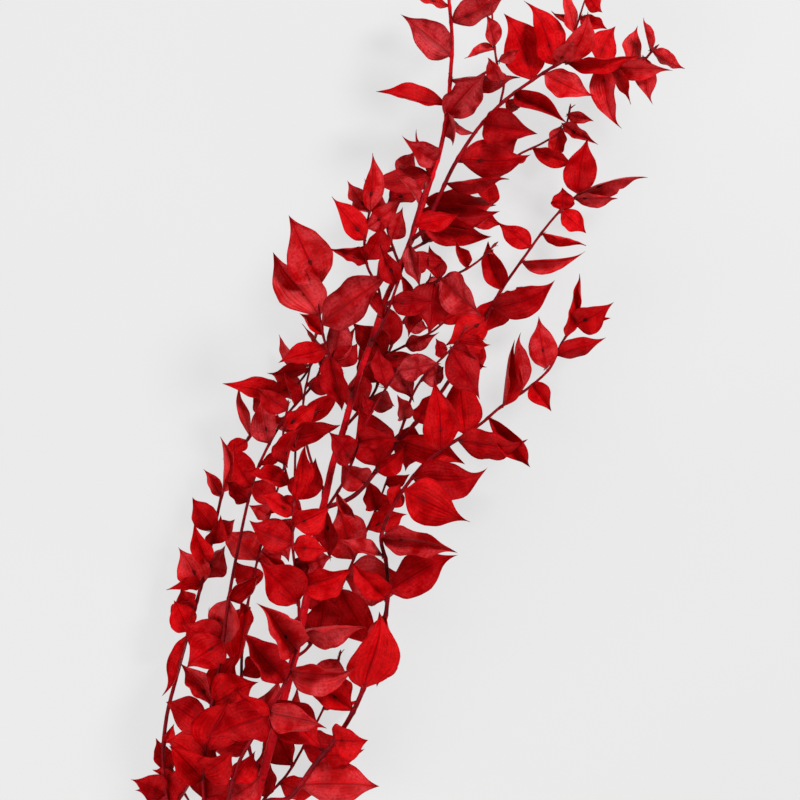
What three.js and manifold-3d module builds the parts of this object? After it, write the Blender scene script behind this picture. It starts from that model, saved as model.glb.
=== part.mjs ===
// A dried, red-dyed ruscus stem lying on a flat surface: one main stem, its leafy side shoots,
// and on every shoot two rows of pointed leaves, each grown into the twig that carries it.
// Lengths are in millimetres and angles in degrees. Routes are drawn on a flat sketch, x to the
// right and y along the page, with z the height above the surface. The finished group is turned
// so that the spray's long axis lies along +Y, with the origin below its middle.

import * as THREE from 'three';
import Module from 'manifold-3d';

// ---------- driving dimensions ----------

const leanOfSpray = 21; // how far the long axis leans to the right on the sketch
const sketchShift = { x: -0.3, y: 47.2 }; // brings the middle of the turned spray to the origin

const ribThickness = 1.2;
const rootShare = -0.008; // a leaf's first point, past its twig's axis, as a share of its length
const lastLeafInset = 1.2; // how far before its twig's end the last leaf stands
const tipCut = 0.985; // a leaf's last point, as a share of its length

const clearance = 1.75; // between the middle surfaces of any two pieces
const sampleGap = 1.2; // between the points that stand for a surface in that test
const pressDepth = 5; // how far a leaf may be pressed flat by the surface it lies on
const seatGap = 0.3; // round the main stem, where a side shoot sits on it

const ringGap = 22; // between the rings of a twig's tube
const stemSides = 8;
const twigSides = 4;

const leafRed = new THREE.MeshStandardMaterial({ color: 0xb00a16, roughness: 0.7, metalness: 0 });
const stemRed = new THREE.MeshStandardMaterial({ color: 0x7a0a12, roughness: 0.6, metalness: 0 });

// Half of a leaf's width along its length, as shares of the widest place.
const leafOutline = [
  [0.0, 0.04], [0.05, 0.26], [0.12, 0.66], [0.22, 0.9], [0.36, 1.04], [0.48, 1.0],
  [0.6, 0.86], [0.72, 0.6], [0.82, 0.35], [0.9, 0.16], [0.96, 0.05], [1.0, 0.0],
];
const leafStations = [0.12, 0.34, 0.6, 0.82];

// ---------- the routes ----------

// Each path lists points of a twig's axis as [x, y, height]. A twig springs from its parent's
// axis at the distance "from". "rows" says where its leaves stand: the first and the gap between
// them, how far they open from the twig, how the two rows are turned round it, and their length.
// "posed" are leaves set by hand: [distance along the twig, tip x, tip y, tip height, roll,
// width as a share of the length].

const mainStem = {
  name: 'main_stem',
  radius: [3.7, 1.1],
  seed: 1,
  path: [
    [-128, -369, 3.42], [-121, -344, 7], [-114, -322, 12], [-105, -298, 17], [-94, -260, 24],
    [-84, -224, 31], [-75, -192, 37], [-67, -159, 41], [-60, -124, 44], [-55, -91, 46],
    [-49, -65, 47], [-44, -42, 48], [-38, -23, 48], [-31, 2, 48], [-25, 21, 48], [-18, 40, 48],
    [-10, 64, 48], [-1, 84, 47], [7, 104, 47], [15, 127, 46], [21, 146, 45], [26, 162, 45],
    [31, 188, 44], [33, 214, 43], [34, 234, 43], [32, 260, 42], [30, 280, 42],
  ],
  rows: { first: 545, gap: 14, open: 50, turn: 10, size: 36 },
  posed: [
    [513, 60, 105, 54, 30, 0.42], [517, 65, 125, 62, 15, 0.42], [524, 73, 128, 54, 30, 0.42],
    [538, 7, 175, 51, 65, 0.34], [541, -24, 142, 59, 20, 0.32], [550, -4, 174, 55, 10, 0.46],
    [580, 57, 214, 58, 20, 0.5], [583, 36, 165, 54, 15, 0.62], [583, 51, 172, 50, 40, 0.45],
    [588, -14, 204, 52, 50, 0.38], [605, 78, 212, 53, 60, 0.4], [621, 1, 252, 49, 10, 0.5],
    [643, 73, 265, 51, 45, 0.42], [653, 3, 264, 46, 60, 0.45],
  ],
};

const sideShoots = [
  {
    name: 'leafy_shoot_01',
    from: 105,
    radius: [2.0, 0.8],
    seed: 2,
    path: [
      [-86, -263, 30], [-72, -260, 34], [-55, -237, 42], [-42, -221, 48], [-32, -205, 54],
      [-25, -190, 58], [-16, -166, 62], [-10, -143, 64], [-8, -124, 65], [-9, -105, 65],
      [-12, -88, 64], [-3, -66, 60], [16, -41, 54], [34, -28, 50], [52, -16, 47], [65, -5, 45],
      [84, 8, 42], [98, 21, 40], [105, 36, 38], [115, 51, 36],
    ],
    rows: { first: 40, gap: 15, open: 52, turn: 15, size: 38 },
    posed: [
      [40, -12, -252, 41, 10, 0.4], [66, -22, -230, 40, 20, 0.5], [79, -20, -220, 62, 10, 0.7],
      [104, -64, -179, 45, 10, 0.55], [120, -11, -133, 68, 5, 0.48],
      [152, -14, -190, 67, 10, 0.7], [172, -4, -178, 70, 35, 0.5], [181, -31, -103, 73, 10, 0.5],
      [186, 38, -99, 67, 10, 0.46], [209, -39, -87, 73, 66, 0.4], [221, 37, -98, 76, 0, 0.52],
      [242, 1, -53, 51, 20, 0.5], [256, 45, -79, 64, 10, 0.5], [266, 57, -46, 66, 5, 0.5],
      [291, 20, 13, 66, 20, 0.44], [305, 83, -30, 55, 35, 0.45], [311, 39, 22, 57, 5, 0.52],
      [330, 86, -47, 54, 5, 0.5], [342, 71, 40, 51, 45, 0.42], [357, 76, 47, 41, 55, 0.4],
      [366, 99, -7, 48, 0, 0.8], [380, 91, 55, 46, 5, 0.44], [391, 135, 39, 45, 40, 0.38],
      [405, 113, 69, 39, 50, 0.42], [416, 137, 54, 28, 30, 0.4], [417, 119, 83, 44, 0, 0.48],
      [417, 142, 65, 54, 15, 0.5],
    ],
  },
  {
    name: 'leafy_shoot_02',
    from: 312,
    radius: [1.7, 0.8],
    seed: 3,
    path: [
      [-31, -63, 44], [-17, -48, 40], [-2, -28, 36], [11, -14, 34], [24, 1, 32], [37, 20, 30],
      [51, 40, 28], [58, 57, 27], [67, 73, 26], [81, 93, 26], [94, 111, 26], [105, 124, 26],
      [118, 136, 26],
    ],
    rows: { first: 20, gap: 14, open: 50, turn: -10, size: 34 },
    posed: [
      [33, -40, -38, 50, 5, 0.7], [44, 3, -30, 34, 20, 0.6], [48, -29, -1, 53, 5, 0.5],
      [56, -27, -7, 44, 5, 0.6], [69, 41, -40, 52, 10, 0.38], [83, 3, -51, 38, 10, 0.5],
      [86, 23, 7, 42, 10, 0.55], [154, 47, 3, 38, 10, 0.42], [169, 29, 36, 41, 10, 0.5],
      [177, 103, 77, 35, 30, 0.42], [183, 55, 41, 32, 10, 0.75], [187, 81, 74, 24, 55, 0.4],
      [190, 58, 105, 36, 10, 0.55], [213, 122, 96, 32, 45, 0.32], [224, 64, 116, 34, 5, 0.42],
      [236, 123, 103, 28, 55, 0.34], [255, 123, 109, 32, 0, 0.5], [256, 107, 140, 34, 0, 0.75],
      [267, 143, 133, 30, 50, 0.42], [272, 123, 171, 36, 0, 0.5], [272, 162, 148, 36, 60, 0.36],
    ],
    twigs: [
      {
        from: 66,
        radius: [1.1, 0.7],
        seed: 4,
        path: [[3, -13, 46], [8, 3, 54], [16, 16, 60], [26, 26, 63], [36, 36, 65], [42, 46, 66]],
        rows: { first: 20, gap: 13, open: 50, turn: 0, size: 33 },
        posed: [
          [51, 32, 22, 52, 10, 0.6], [71, 23, 40, 65, 20, 0.6], [79, 56, 21, 66, 10, 0.5],
          [80, 53, 0, 66, 10, 0.5], [84, 58, 35, 71, 10, 0.6],
        ],
      },
    ],
  },
  {
    name: 'leafy_shoot_03',
    from: 96,
    radius: [1.1, 0.7],
    seed: 5,
    path: [
      [-90, -264, 15], [-75, -248, 12], [-62, -226, 9], [-51, -205, 7], [-44, -188, 6],
      [-40, -169, 6],
    ],
    rows: { first: 20, gap: 14, open: 52, turn: 0, size: 36 },
    posed: [
      [114, -32, -203, 10, 10, 0.6], [125, -52, -192, 8, 10, 0.6],
    ],
  },
  {
    name: 'leafy_shoot_04',
    from: 60,
    radius: [1.6, 0.8],
    seed: 6,
    path: [
      [-112, -292, 34], [-114, -273, 46], [-110, -254, 58], [-104, -234, 68], [-94, -216, 76],
      [-86, -203, 79], [-75, -184, 80], [-68, -166, 80], [-65, -150, 80], [-65, -130, 80],
      [-67, -110, 80], [-69, -91, 80], [-68, -65, 79], [-67, -26, 78],
    ],
    rows: { first: 50, gap: 13, open: 55, turn: 0, size: 36 },
    posed: [
      [68, -90, -244, 47, 20, 0.5], [81, -93, -228, 55, 20, 0.55], [126, -104, -185, 87, 10, 0.5],
      [137, -125, -218, 75, 5, 0.5], [138, -47, -209, 83, 10, 0.44],
      [147, -50, -226, 74, 10, 0.45], [160, -100, -147, 86, 10, 0.44],
      [168, -25, -174, 72, 25, 0.4], [182, -92, -127, 86, 10, 0.68],
      [194, -22, -146, 88, 58, 0.45], [212, -92, -102, 84, 15, 0.6],
      [222, -31, -107, 86, 10, 0.48], [226, -64, -97, 72, 10, 0.6], [230, -88, -98, 90, 40, 0.4],
      [236, -44, -100, 74, 20, 0.6], [248, -42, -96, 88, 20, 0.42], [250, -97, -78, 84, 15, 0.5],
      [254, -85, -75, 70, 10, 0.6], [262, -45, -68, 88, 20, 0.6], [269, -91, -59, 87, 45, 0.45],
      [276, -63, -27, 87, 20, 0.42],
    ],
  },
  {
    name: 'leafy_shoot_05',
    from: 50,
    radius: [1.7, 0.8],
    seed: 7,
    path: [
      [-125, -299, 26], [-128, -254, 44], [-127, -234, 50], [-125, -214, 54], [-122, -198, 56],
      [-119, -182, 57], [-116, -166, 57], [-112, -136, 57], [-109, -117, 56], [-105, -96, 55],
      [-100, -72, 55], [-94, -49, 56], [-84, -27, 57], [-72, -8, 58], [-58, 8, 58],
      [-49, 25, 58],
    ],
    rows: { first: 40, gap: 15, open: 50, turn: 20, size: 35 },
    posed: [
      [71, -120, -224, 51, 10, 0.5], [85, -149, -223, 62, 10, 0.5],
      [89, -105, -223, 61, 10, 0.55], [95, -154, -222, 31, 10, 0.5],
      [105, -109, -194, 63, 10, 0.5], [121, -154, -197, 40, 10, 0.42],
      [136, -142, -170, 48, 30, 0.4], [137, -93, -182, 64, 10, 0.62],
      [139, -103, -165, 62, 10, 0.5], [177, -143, -144, 47, 20, 0.5],
      [179, -138, -172, 51, 10, 0.6], [205, -122, -166, 49, 25, 0.4],
      [205, -90, -113, 55, 10, 0.7], [270, -113, -52, 57, 20, 0.7],
    ],
  },
  {
    name: 'leafy_shoot_06',
    from: 36,
    radius: [1.7, 0.8],
    seed: 8,
    path: [
      [-134, -315, 10], [-149, -280, 16], [-156, -244, 20], [-154, -211, 22], [-147, -182, 23],
      [-140, -156, 24], [-133, -130, 24], [-127, -107, 24], [-122, -84, 24], [-116, -58, 24],
      [-107, -37, 24], [-98, -23, 24], [-88, -12, 25], [-77, 1, 26], [-65, 13, 28],
      [-57, 25, 30],
    ],
    rows: { first: 60, gap: 14, open: 50, turn: 10, size: 35 },
    posed: [
      [85, -177, -249, 22, 10, 0.5], [101, -162, -223, 20, 40, 0.42],
      [119, -148, -212, 19, 20, 0.4], [193, -151, -197, 26, 60, 0.26],
      [195, -149, -130, 28, 20, 0.5], [209, -144, -124, 20, 10, 0.6],
      [215, -149, -156, 24, 30, 0.6], [225, -146, -97, 28, 5, 0.48],
      [227, -153, -124, 40, 25, 0.38], [231, -113, -92, 20, 20, 0.5],
      [241, -136, -79, 30, 10, 0.4], [254, -116, -74, 24, 30, 0.5], [261, -108, -79, 26, 20, 0.6],
      [263, -137, -64, 30, 5, 0.44], [286, -129, -45, 26, 45, 0.36],
      [289, -116, -22, 28, 30, 0.36], [327, -115, -39, 32, 20, 0.42],
      [330, -108, 10, 28, 65, 0.26], [349, -96, 8, 19, 10, 0.5], [364, -115, 12, 40, 25, 0.36],
      [375, -90, 1, 31, 20, 0.45], [389, -86, 17, 37, 20, 0.36],
    ],
  },
  {
    name: 'leafy_shoot_07',
    from: 304,
    radius: [1.2, 0.7],
    seed: 9,
    path: [[-46, -68, 58], [-36, -52, 64], [-28, -32, 66], [-21, -13, 67], [-12, 3, 67],
      [-1, 20, 67]],
    rows: { first: 24, gap: 13, open: 55, turn: 0, size: 34 },
    posed: [
      [11, -46, -105, 49, 20, 0.44], [27, -28, -77, 55, 20, 0.5], [71, -5, -26, 67, 20, 0.7],
      [81, -24, 3, 69, 20, 0.6],
    ],
  },
  {
    name: 'leafy_shoot_08',
    from: 496,
    radius: [1.6, 0.75],
    seed: 10,
    path: [
      [16, 112, 54], [26, 133, 60], [34, 150, 62], [45, 168, 62], [55, 181, 61], [68, 194, 60],
      [84, 206, 58], [101, 217, 56], [110, 220, 55], [130, 219, 53], [143, 217, 51],
      [155, 218, 50], [165, 228, 50],
    ],
    rows: { first: 24, gap: 13, open: 50, turn: 15, size: 34 },
    posed: [
      [46, 70, 146, 71, 50, 0.36], [64, 85, 157, 66, 25, 0.46], [93, 91, 169, 73, 5, 0.6],
      [113, 77, 189, 46, 20, 0.6], [121, 108, 177, 69, 5, 0.52], [135, 69, 250, 66, 10, 0.52],
      [144, 125, 195, 63, 10, 0.45], [153, 82, 259, 68, 15, 0.42], [155, 114, 240, 70, 20, 0.4],
      [161, 121, 250, 73, 25, 0.42], [161, 156, 224, 69, 30, 0.36], [181, 141, 243, 49, 10, 0.55],
      [184, 141, 175, 57, 25, 0.36], [186, 176, 217, 61, 55, 0.35], [190, 150, 192, 50, 55, 0.4],
      [202, 155, 244, 43, 40, 0.5], [213, 162, 192, 52, 45, 0.42], [219, 159, 245, 52, 40, 0.42],
      [220, 155, 251, 58, 60, 0.4], [220, 185, 215, 54, 40, 0.42],
    ],
    twigs: [
      {
        from: 108,
        radius: [0.9, 0.6],
        seed: 11,
        path: [[67, 205, 68], [63, 214, 71], [60, 234, 73], [59, 260, 74], [60, 272, 74]],
        rows: { first: 16, gap: 13, open: 45, turn: 0, size: 26 },
        posed: [
          [30, 77, 227, 71, 40, 0.5], [38, 42, 218, 76, 40, 0.45], [40, 55, 248, 78, 30, 0.5],
        ],
      },
      {
        from: 62,
        radius: [1.0, 0.7],
        seed: 12,
        path: [[49, 154, 52], [65, 153, 42], [80, 162, 33], [94, 169, 27], [108, 179, 23],
          [112, 192, 22]],
        rows: { first: 20, gap: 13, open: 50, turn: 10, size: 32 },
        posed: [
          [40, 62, 147, 33, 20, 0.5], [45, 83, 160, 31, 20, 0.5], [62, 116, 155, 30, 40, 0.38],
          [88, 102, 156, 28, 10, 0.6], [90, 130, 169, 33, 20, 0.45], [97, 128, 184, 23, 20, 0.5],
        ],
      },
      {
        from: 166,
        radius: [0.8, 0.6],
        seed: 26,
        path: [[111, 231, 60], [115, 244, 64], [119, 257, 66], [124, 270, 67]],
        rows: { first: 14, gap: 13, open: 50, turn: 0, size: 28 },
        posed: [
          [20, 101, 267, 68, 50, 0.4], [21, 97, 250, 66, 50, 0.42], [31, 134, 240, 68, 20, 0.55],
          [47, 131, 249, 70, 20, 0.6],
        ],
      },
    ],
  },
  {
    name: 'leafy_shoot_09',
    from: 450,
    radius: [1.1, 0.7],
    seed: 13,
    path: [[-3, 66, 52], [8, 70, 58], [20, 75, 63], [29, 79, 66], [40, 83, 68], [51, 90, 69],
      [60, 99, 69]],
    rows: { first: 14, gap: 12, open: 52, turn: 0, size: 32 },
    posed: [
      [28, 5, 40, 63, 5, 0.55], [40, 19, 41, 70, 5, 0.62], [43, 19, 100, 67, 20, 0.6],
      [44, 56, 54, 71, 10, 0.55], [63, 35, 102, 72, 20, 0.75], [79, 63, 97, 63, 20, 0.5],
    ],
  },
  {
    name: 'leafy_shoot_10',
    from: 408,
    radius: [1.0, 0.7],
    seed: 14,
    path: [[-14, 27, 42], [0, 34, 34], [12, 40, 27], [24, 47, 22], [34, 57, 19]],
    rows: { first: 16, gap: 12, open: 52, turn: 0, size: 33 },
    posed: [
      [17, 16, 27, 50, 30, 0.42], [20, -31, 49, 49, 10, 0.5], [21, 8, 3, 57, 5, 0.62],
      [35, 26, 43, 36, 10, 0.5], [65, 48, 59, 26, 20, 0.42],
    ],
  },
  {
    name: 'leafy_shoot_11',
    from: 390,
    radius: [1.2, 0.7],
    seed: 15,
    path: [[-40, 16, 60], [-48, 36, 68], [-52, 57, 71], [-51, 76, 71]],
    rows: { first: 24, gap: 13, open: 50, turn: 0, size: 36 },
    posed: [
      [27, -26, 36, 59, 20, 0.6], [30, -35, 61, 72, 20, 0.44], [35, -37, -6, 59, 10, 0.55],
      [39, -79, 25, 67, 30, 0.44], [48, -64, 57, 63, 20, 0.6], [55, -4, 83, 76, 5, 0.6],
      [60, -82, 94, 75, 5, 0.54], [83, -74, 125, 77, 0, 0.48],
    ],
  },
  {
    name: 'leafy_shoot_12',
    from: 446,
    radius: [1.1, 0.7],
    seed: 16,
    path: [[-14, 72, 58], [-21, 86, 64], [-23, 101, 67], [-20, 120, 68], [-17, 130, 68]],
    rows: { first: 16, gap: 12, open: 50, turn: 0, size: 32 },
    posed: [
      [22, -10, 99, 54, 20, 0.5], [37, -48, 98, 72, 15, 0.58], [39, -12, 115, 67, 20, 0.6],
      [52, -44, 131, 73, 15, 0.42], [60, 3, 130, 76, 20, 0.38], [70, -35, 142, 68, 20, 0.42],
      [71, -18, 159, 74, 25, 0.36],
    ],
  },
  {
    name: 'leafy_shoot_13',
    from: 70,
    radius: [1.2, 0.7],
    seed: 17,
    path: [[-124, -292, 8], [-135, -274, 7], [-144, -259, 6], [-152, -244, 6]],
    rows: { first: 20, gap: 12, open: 52, turn: 0, size: 35 },
    posed: [
      [58, -175, -257, 8, 5, 0.5], [68, -167, -246, 9, 20, 0.5], [75, -160, -227, 8, 30, 0.42],
    ],
  },
  {
    name: 'leafy_shoot_14',
    from: 132,
    radius: [1.3, 0.7],
    seed: 18,
    path: [
      [-98, -234, 24], [-103, -208, 15], [-105, -182, 9], [-104, -156, 6], [-100, -130, 5],
      [-94, -104, 5], [-87, -78, 5], [-79, -52, 6], [-74, -32, 7],
    ],
    rows: { first: 20, gap: 16, open: 52, turn: 0, size: 36 },
    posed: [
      [106, -106, -131, 11, 10, 0.5], [114, -108, -181, 25, 35, 0.42],
      [125, -109, -106, 5, 10, 0.7], [145, -119, -87, -4, 0, 0.5], [145, -76, -98, 1, 20, 0.6],
      [169, -72, -107, -4, 0, 0.5], [176, -100, -70, 13, 10, 0.7], [185, -100, -53, 1, 10, 0.6],
    ],
  },
  {
    name: 'leafy_shoot_15',
    from: 212,
    radius: [1.2, 0.7],
    seed: 19,
    path: [
      [-60, -162, 30], [-48, -143, 19], [-39, -124, 11], [-30, -104, 7], [-21, -84, 5],
      [-13, -65, 5], [-8, -51, 6],
    ],
    rows: { first: 18, gap: 13, open: 52, turn: 0, size: 37 },
    posed: [
      [28, -51, -127, 20, 10, 0.7], [61, -10, -165, 36, 20, 0.36], [69, 10, -115, 30, 5, 0.5],
      [83, -41, -69, 22, 10, 0.5], [105, 5, -75, -4, 0, 0.5], [119, -24, -49, 13, 10, 0.7],
      [119, -5, -62, 7, 20, 0.7], [137, 7, -49, 12, 10, 0.7],
    ],
  },
  {
    name: 'leafy_shoot_16',
    from: 296,
    radius: [1.1, 0.7],
    seed: 20,
    path: [[-62, -78, 58], [-70, -58, 66], [-75, -39, 71], [-75, -20, 73], [-72, -3, 74]],
    rows: { first: 20, gap: 12, open: 52, turn: 0, size: 34 },
    posed: [
      [73, -37, -17, 77, 5, 0.6],
    ],
  },
  {
    name: 'leafy_shoot_17',
    from: 322,
    radius: [1.1, 0.7],
    seed: 21,
    path: [[-56, -46, 38], [-62, -26, 25], [-64, -3, 14], [-60, 20, 8], [-56, 42, 6]],
    rows: { first: 44, gap: 13, open: 52, turn: 0, size: 35 },
    posed: [
      [73, -88, 19, 3, 0, 0.5],
    ],
  },
  {
    name: 'leafy_shoot_18',
    from: 366,
    radius: [1.2, 0.7],
    seed: 22,
    path: [[-29, -10, 38], [-17, 5, 26], [-10, 25, 16], [-1, 46, 10], [10, 65, 6],
      [20, 81, 5]],
    rows: { first: 18, gap: 14, open: 52, turn: 0, size: 34 },
    posed: [
      [92, 19, 47, 0, 0, 0.5],
    ],
  },
  {
    name: 'leafy_shoot_19',
    from: 478,
    radius: [1.1, 0.7],
    seed: 23,
    path: [[-5, 101, 34], [-9, 118, 22], [-6, 136, 13], [0, 153, 6]],
    rows: { first: 16, gap: 13, open: 52, turn: 0, size: 33 },
    posed: [
      [25, 3, 126, 35, 20, 0.6], [76, 10, 166, -2, 0, 0.5],
    ],
  },
  {
    name: 'leafy_shoot_20',
    from: 488,
    radius: [1.1, 0.7],
    seed: 24,
    path: [[18, 104, 36], [31, 112, 26], [46, 120, 16], [60, 129, 6]],
    rows: { first: 16, gap: 13, open: 52, turn: 0, size: 33 },
    posed: [
      [77, 59, 152, -4, 0, 0.5],
    ],
  },
  {
    name: 'leafy_shoot_21',
    from: 425,
    radius: [1.2, 0.7],
    seed: 25,
    path: [[-13, 46, 60], [-5, 65, 72], [3, 90, 76], [9, 114, 78], [16, 136, 78]],
    rows: { first: 24, gap: 13, open: 52, turn: 0, size: 33 },
    posed: [
      [77, 14, 72, 83, 20, 0.42],
    ],
  },
];

// ---------- small helpers ----------

const radians = THREE.MathUtils.degToRad;
const up = new THREE.Vector3(0, 0, 1);
const mix = (a, b, t) => a + (b - a) * t;

// The same numbers in the same order for one seed, between 0 and 1.
function randomFrom(seed) {
  let state = seed >>> 0;
  return () => {
    state = (state + 0x6d2b79f5) >>> 0;
    let t = state;
    t = Math.imul(t ^ (t >>> 15), t | 1);
    t ^= t + Math.imul(t ^ (t >>> 7), t | 61);
    return ((t ^ (t >>> 14)) >>> 0) / 4294967296;
  };
}

function halfWidthAt(share) {
  const next = leafOutline.findIndex(([at]) => at >= share);
  if (next <= 0) return leafOutline[0][1];
  const [fromAt, fromWidth] = leafOutline[next - 1];
  const [toAt, toWidth] = leafOutline[next];
  return mix(fromWidth, toWidth, (share - fromAt) / (toAt - fromAt));
}

// ---------- axes of stems and twigs ----------

// A smooth curve through the points, as short chords of even length.
function axisThrough(points) {
  const curve = new THREE.CatmullRomCurve3(points, false, 'catmullrom', 0.5);
  const chords = Math.max(2, Math.round(curve.getLength() / ringGap));
  const knots = curve.getSpacedPoints(chords);
  const along = [0];
  for (let i = 1; i < knots.length; i += 1) {
    along.push(along[i - 1] + knots[i].distanceTo(knots[i - 1]));
  }
  return { knots, along, length: along[along.length - 1] };
}

function placeOnAxis(axis, distance) {
  let i = 1;
  while (i < axis.along.length - 1 && axis.along[i] < distance) i += 1;
  const share = (distance - axis.along[i - 1]) / (axis.along[i] - axis.along[i - 1]);
  const point = axis.knots[i - 1].clone().lerp(axis.knots[i], share);
  const direction = axis.knots[i].clone().sub(axis.knots[i - 1]).normalize();
  return { point, direction };
}

// ---------- solids ----------

function geometryOf(positions, triangles) {
  const geometry = new THREE.BufferGeometry();
  geometry.setAttribute('position', new THREE.Float32BufferAttribute(positions, 3));
  geometry.setIndex(triangles);
  return geometry;
}

// Rings of points joined in order, closed at both ends. A ring of one point is a tip.
function skin(rings) {
  const positions = [];
  const starts = [];
  for (const ring of rings) {
    starts.push(positions.length / 3);
    for (const p of ring) positions.push(p.x, p.y, p.z);
  }
  const triangles = [];
  const sides = rings[1].length;
  for (let i = 1; i < rings.length; i += 1) {
    for (let k = 0; k < sides; k += 1) {
      const next = (k + 1) % sides;
      const [a, c] = [starts[i - 1], starts[i]];
      if (rings[i - 1].length === 1) {
        triangles.push(a, c + k, c + next);
      } else if (rings[i].length === 1) {
        triangles.push(a + k, c, a + next);
      } else {
        triangles.push(a + k, c + next, a + next, a + k, c + k, c + next);
      }
    }
  }
  const [first, last] = [starts[0], starts[rings.length - 1]];
  for (let k = 2; k < rings[0].length; k += 1) triangles.push(first, first + k - 1, first + k);
  for (let k = 2; k < rings[rings.length - 1].length; k += 1) {
    triangles.push(last, last + k, last + k - 1);
  }
  return geometryOf(positions, triangles);
}

function tubeRings(axis, [startRadius, endRadius], sides, extra) {
  return axis.knots.map((knot, i) => {
    const before = axis.knots[Math.max(0, i - 1)];
    const after = axis.knots[Math.min(axis.knots.length - 1, i + 1)];
    const direction = after.clone().sub(before).normalize();
    const across = new THREE.Vector3().crossVectors(direction, up).normalize();
    const over = new THREE.Vector3().crossVectors(across, direction);
    const radius = mix(startRadius, endRadius, axis.along[i] / axis.length) + extra;
    return Array.from({ length: sides }, (unused, k) => {
      const angle = (2 * Math.PI * (k + 0.5)) / sides;
      return knot.clone()
        .addScaledVector(across, radius * Math.cos(angle))
        .addScaledVector(over, radius * Math.sin(angle));
    });
  });
}

// ---------- one leaf ----------

// A leaf is aimed by its bearing on the sketch and its lift above it, and rolled about that
// line. It is bent along its length as a circular arc, swayed sideways as another, twisted
// towards its tip and folded along its rib.
function leafFrame(leaf) {
  const aim = new THREE.Vector3(
    Math.cos(leaf.bearing) * Math.cos(leaf.lift),
    Math.sin(leaf.bearing) * Math.cos(leaf.lift),
    Math.sin(leaf.lift),
  );
  const flat = up.clone().addScaledVector(aim, -up.dot(aim)).normalize();
  const face = flat.applyAxisAngle(aim, leaf.roll);
  return { aim, face, side: new THREE.Vector3().crossVectors(aim, face) };
}

const arcReach = (turn) => (Math.abs(turn) < 1e-6 ? 1 : turn / 2 / Math.sin(turn / 2));
const arcAlong = (turn, u) => (
  Math.abs(turn) < 1e-6 ? u : (Math.sin(turn * (u - 0.5)) + Math.sin(turn / 2)) / turn
);
const arcAside = (turn, u) => (
  Math.abs(turn) < 1e-6 ? 0 : (Math.cos(turn / 2) - Math.cos(turn * (u - 0.5))) / turn
);

function leafSection(leaf, u) {
  const { aim, face, side } = leafFrame(leaf);
  const reach = leaf.length * arcReach(leaf.bend);
  const centre = leaf.base.clone()
    .addScaledVector(aim, reach * arcAlong(leaf.bend, u))
    .addScaledVector(face, reach * arcAside(leaf.bend, u))
    .addScaledVector(side, leaf.length * arcAside(leaf.sway, u));
  const heading = aim.clone().multiplyScalar(Math.cos(leaf.bend * (u - 0.5)))
    .addScaledVector(face, Math.sin(leaf.bend * (u - 0.5)))
    .addScaledVector(side, Math.sin(leaf.sway * (u - 0.5)))
    .normalize();
  const across = side.clone().addScaledVector(heading, -side.dot(heading)).normalize()
    .applyAxisAngle(heading, leaf.twist * (u - 0.3));
  const over = new THREE.Vector3().crossVectors(across, heading);
  return { centre, across, over };
}

function leafRing(leaf, u, halfWidth, thickness, fold) {
  const { centre, across, over } = leafSection(leaf, u);
  const edge = (sign) => centre.clone()
    .addScaledVector(across, sign * halfWidth * Math.cos(fold))
    .addScaledVector(over, halfWidth * Math.sin(fold));
  const rib = (sign) => centre.clone().addScaledVector(over, (sign * thickness) / 2);
  return pressed([edge(-1), rib(-1), edge(1), rib(1)], thickness);
}

// What would reach below the surface lies flat on it.
function pressed([left, bottom, right, top], thickness) {
  const upper = top.z >= bottom.z ? top : bottom;
  const lower = top.z >= bottom.z ? bottom : top;
  left.z = Math.max(left.z, 0);
  right.z = Math.max(right.z, 0);
  lower.z = Math.max(lower.z, 0);
  upper.z = Math.max(upper.z, thickness);
  return [left, bottom, right, top];
}

function leafRings(leaf) {
  const halfWidth = (leaf.length * leaf.width) / 2;
  const foot = leafSection(leaf, rootShare).centre;
  const blade = leafStations.map((u) => (
    leafRing(leaf, u, halfWidth * halfWidthAt(u), ribThickness, leaf.fold)
  ));
  const tip = leafSection(leaf, tipCut).centre;
  tip.z = Math.max(tip.z, 0);
  return [[foot], ...blade, [tip]];
}

function lowestPoint(leaf) {
  const halfWidth = (leaf.length * leaf.width) / 2;
  let lowest = leafSection(leaf, tipCut).centre.z;
  for (const u of leafStations) {
    const { centre, across, over } = leafSection(leaf, u);
    const out = halfWidth * halfWidthAt(u);
    const drop = Math.abs(across.z) * out * Math.cos(leaf.fold);
    lowest = Math.min(lowest, centre.z + over.z * out * Math.sin(leaf.fold) - drop);
  }
  return lowest;
}

// ---------- keeping the pieces apart ----------

// Points that stand for every surface placed so far, sorted into cells.
const cells = new Map();
const cellOf = (value) => Math.floor(value / clearance);
const cellKey = (i, j, k) => ((i + 1024) * 4096 + (j + 1024)) * 4096 + (k + 1024);

function occupy(samples, owner) {
  for (const { point } of samples) {
    const key = cellKey(cellOf(point.x), cellOf(point.y), cellOf(point.z));
    if (!cells.has(key)) cells.set(key, []);
    cells.get(key).push({ point, owner });
  }
}

// Near its own twig a leaf may touch that twig and the feet of its neighbours.
const mayTouch = (share, owner, leafOwner) => (
  owner.node === leafOwner.node && (share < 0.2 || (owner.isTwig && share < 0.4))
);

function isClear(samples, leafOwner) {
  for (const { point, share } of samples) {
    const [i, j, k] = [cellOf(point.x), cellOf(point.y), cellOf(point.z)];
    for (let di = -1; di <= 1; di += 1) {
      for (let dj = -1; dj <= 1; dj += 1) {
        for (let dk = -1; dk <= 1; dk += 1) {
          for (const other of cells.get(cellKey(i + di, j + dj, k + dk)) ?? []) {
            const near = point.distanceToSquared(other.point) < clearance * clearance;
            if (near && !mayTouch(share, other.owner, leafOwner)) return false;
          }
        }
      }
    }
  }
  return true;
}

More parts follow.
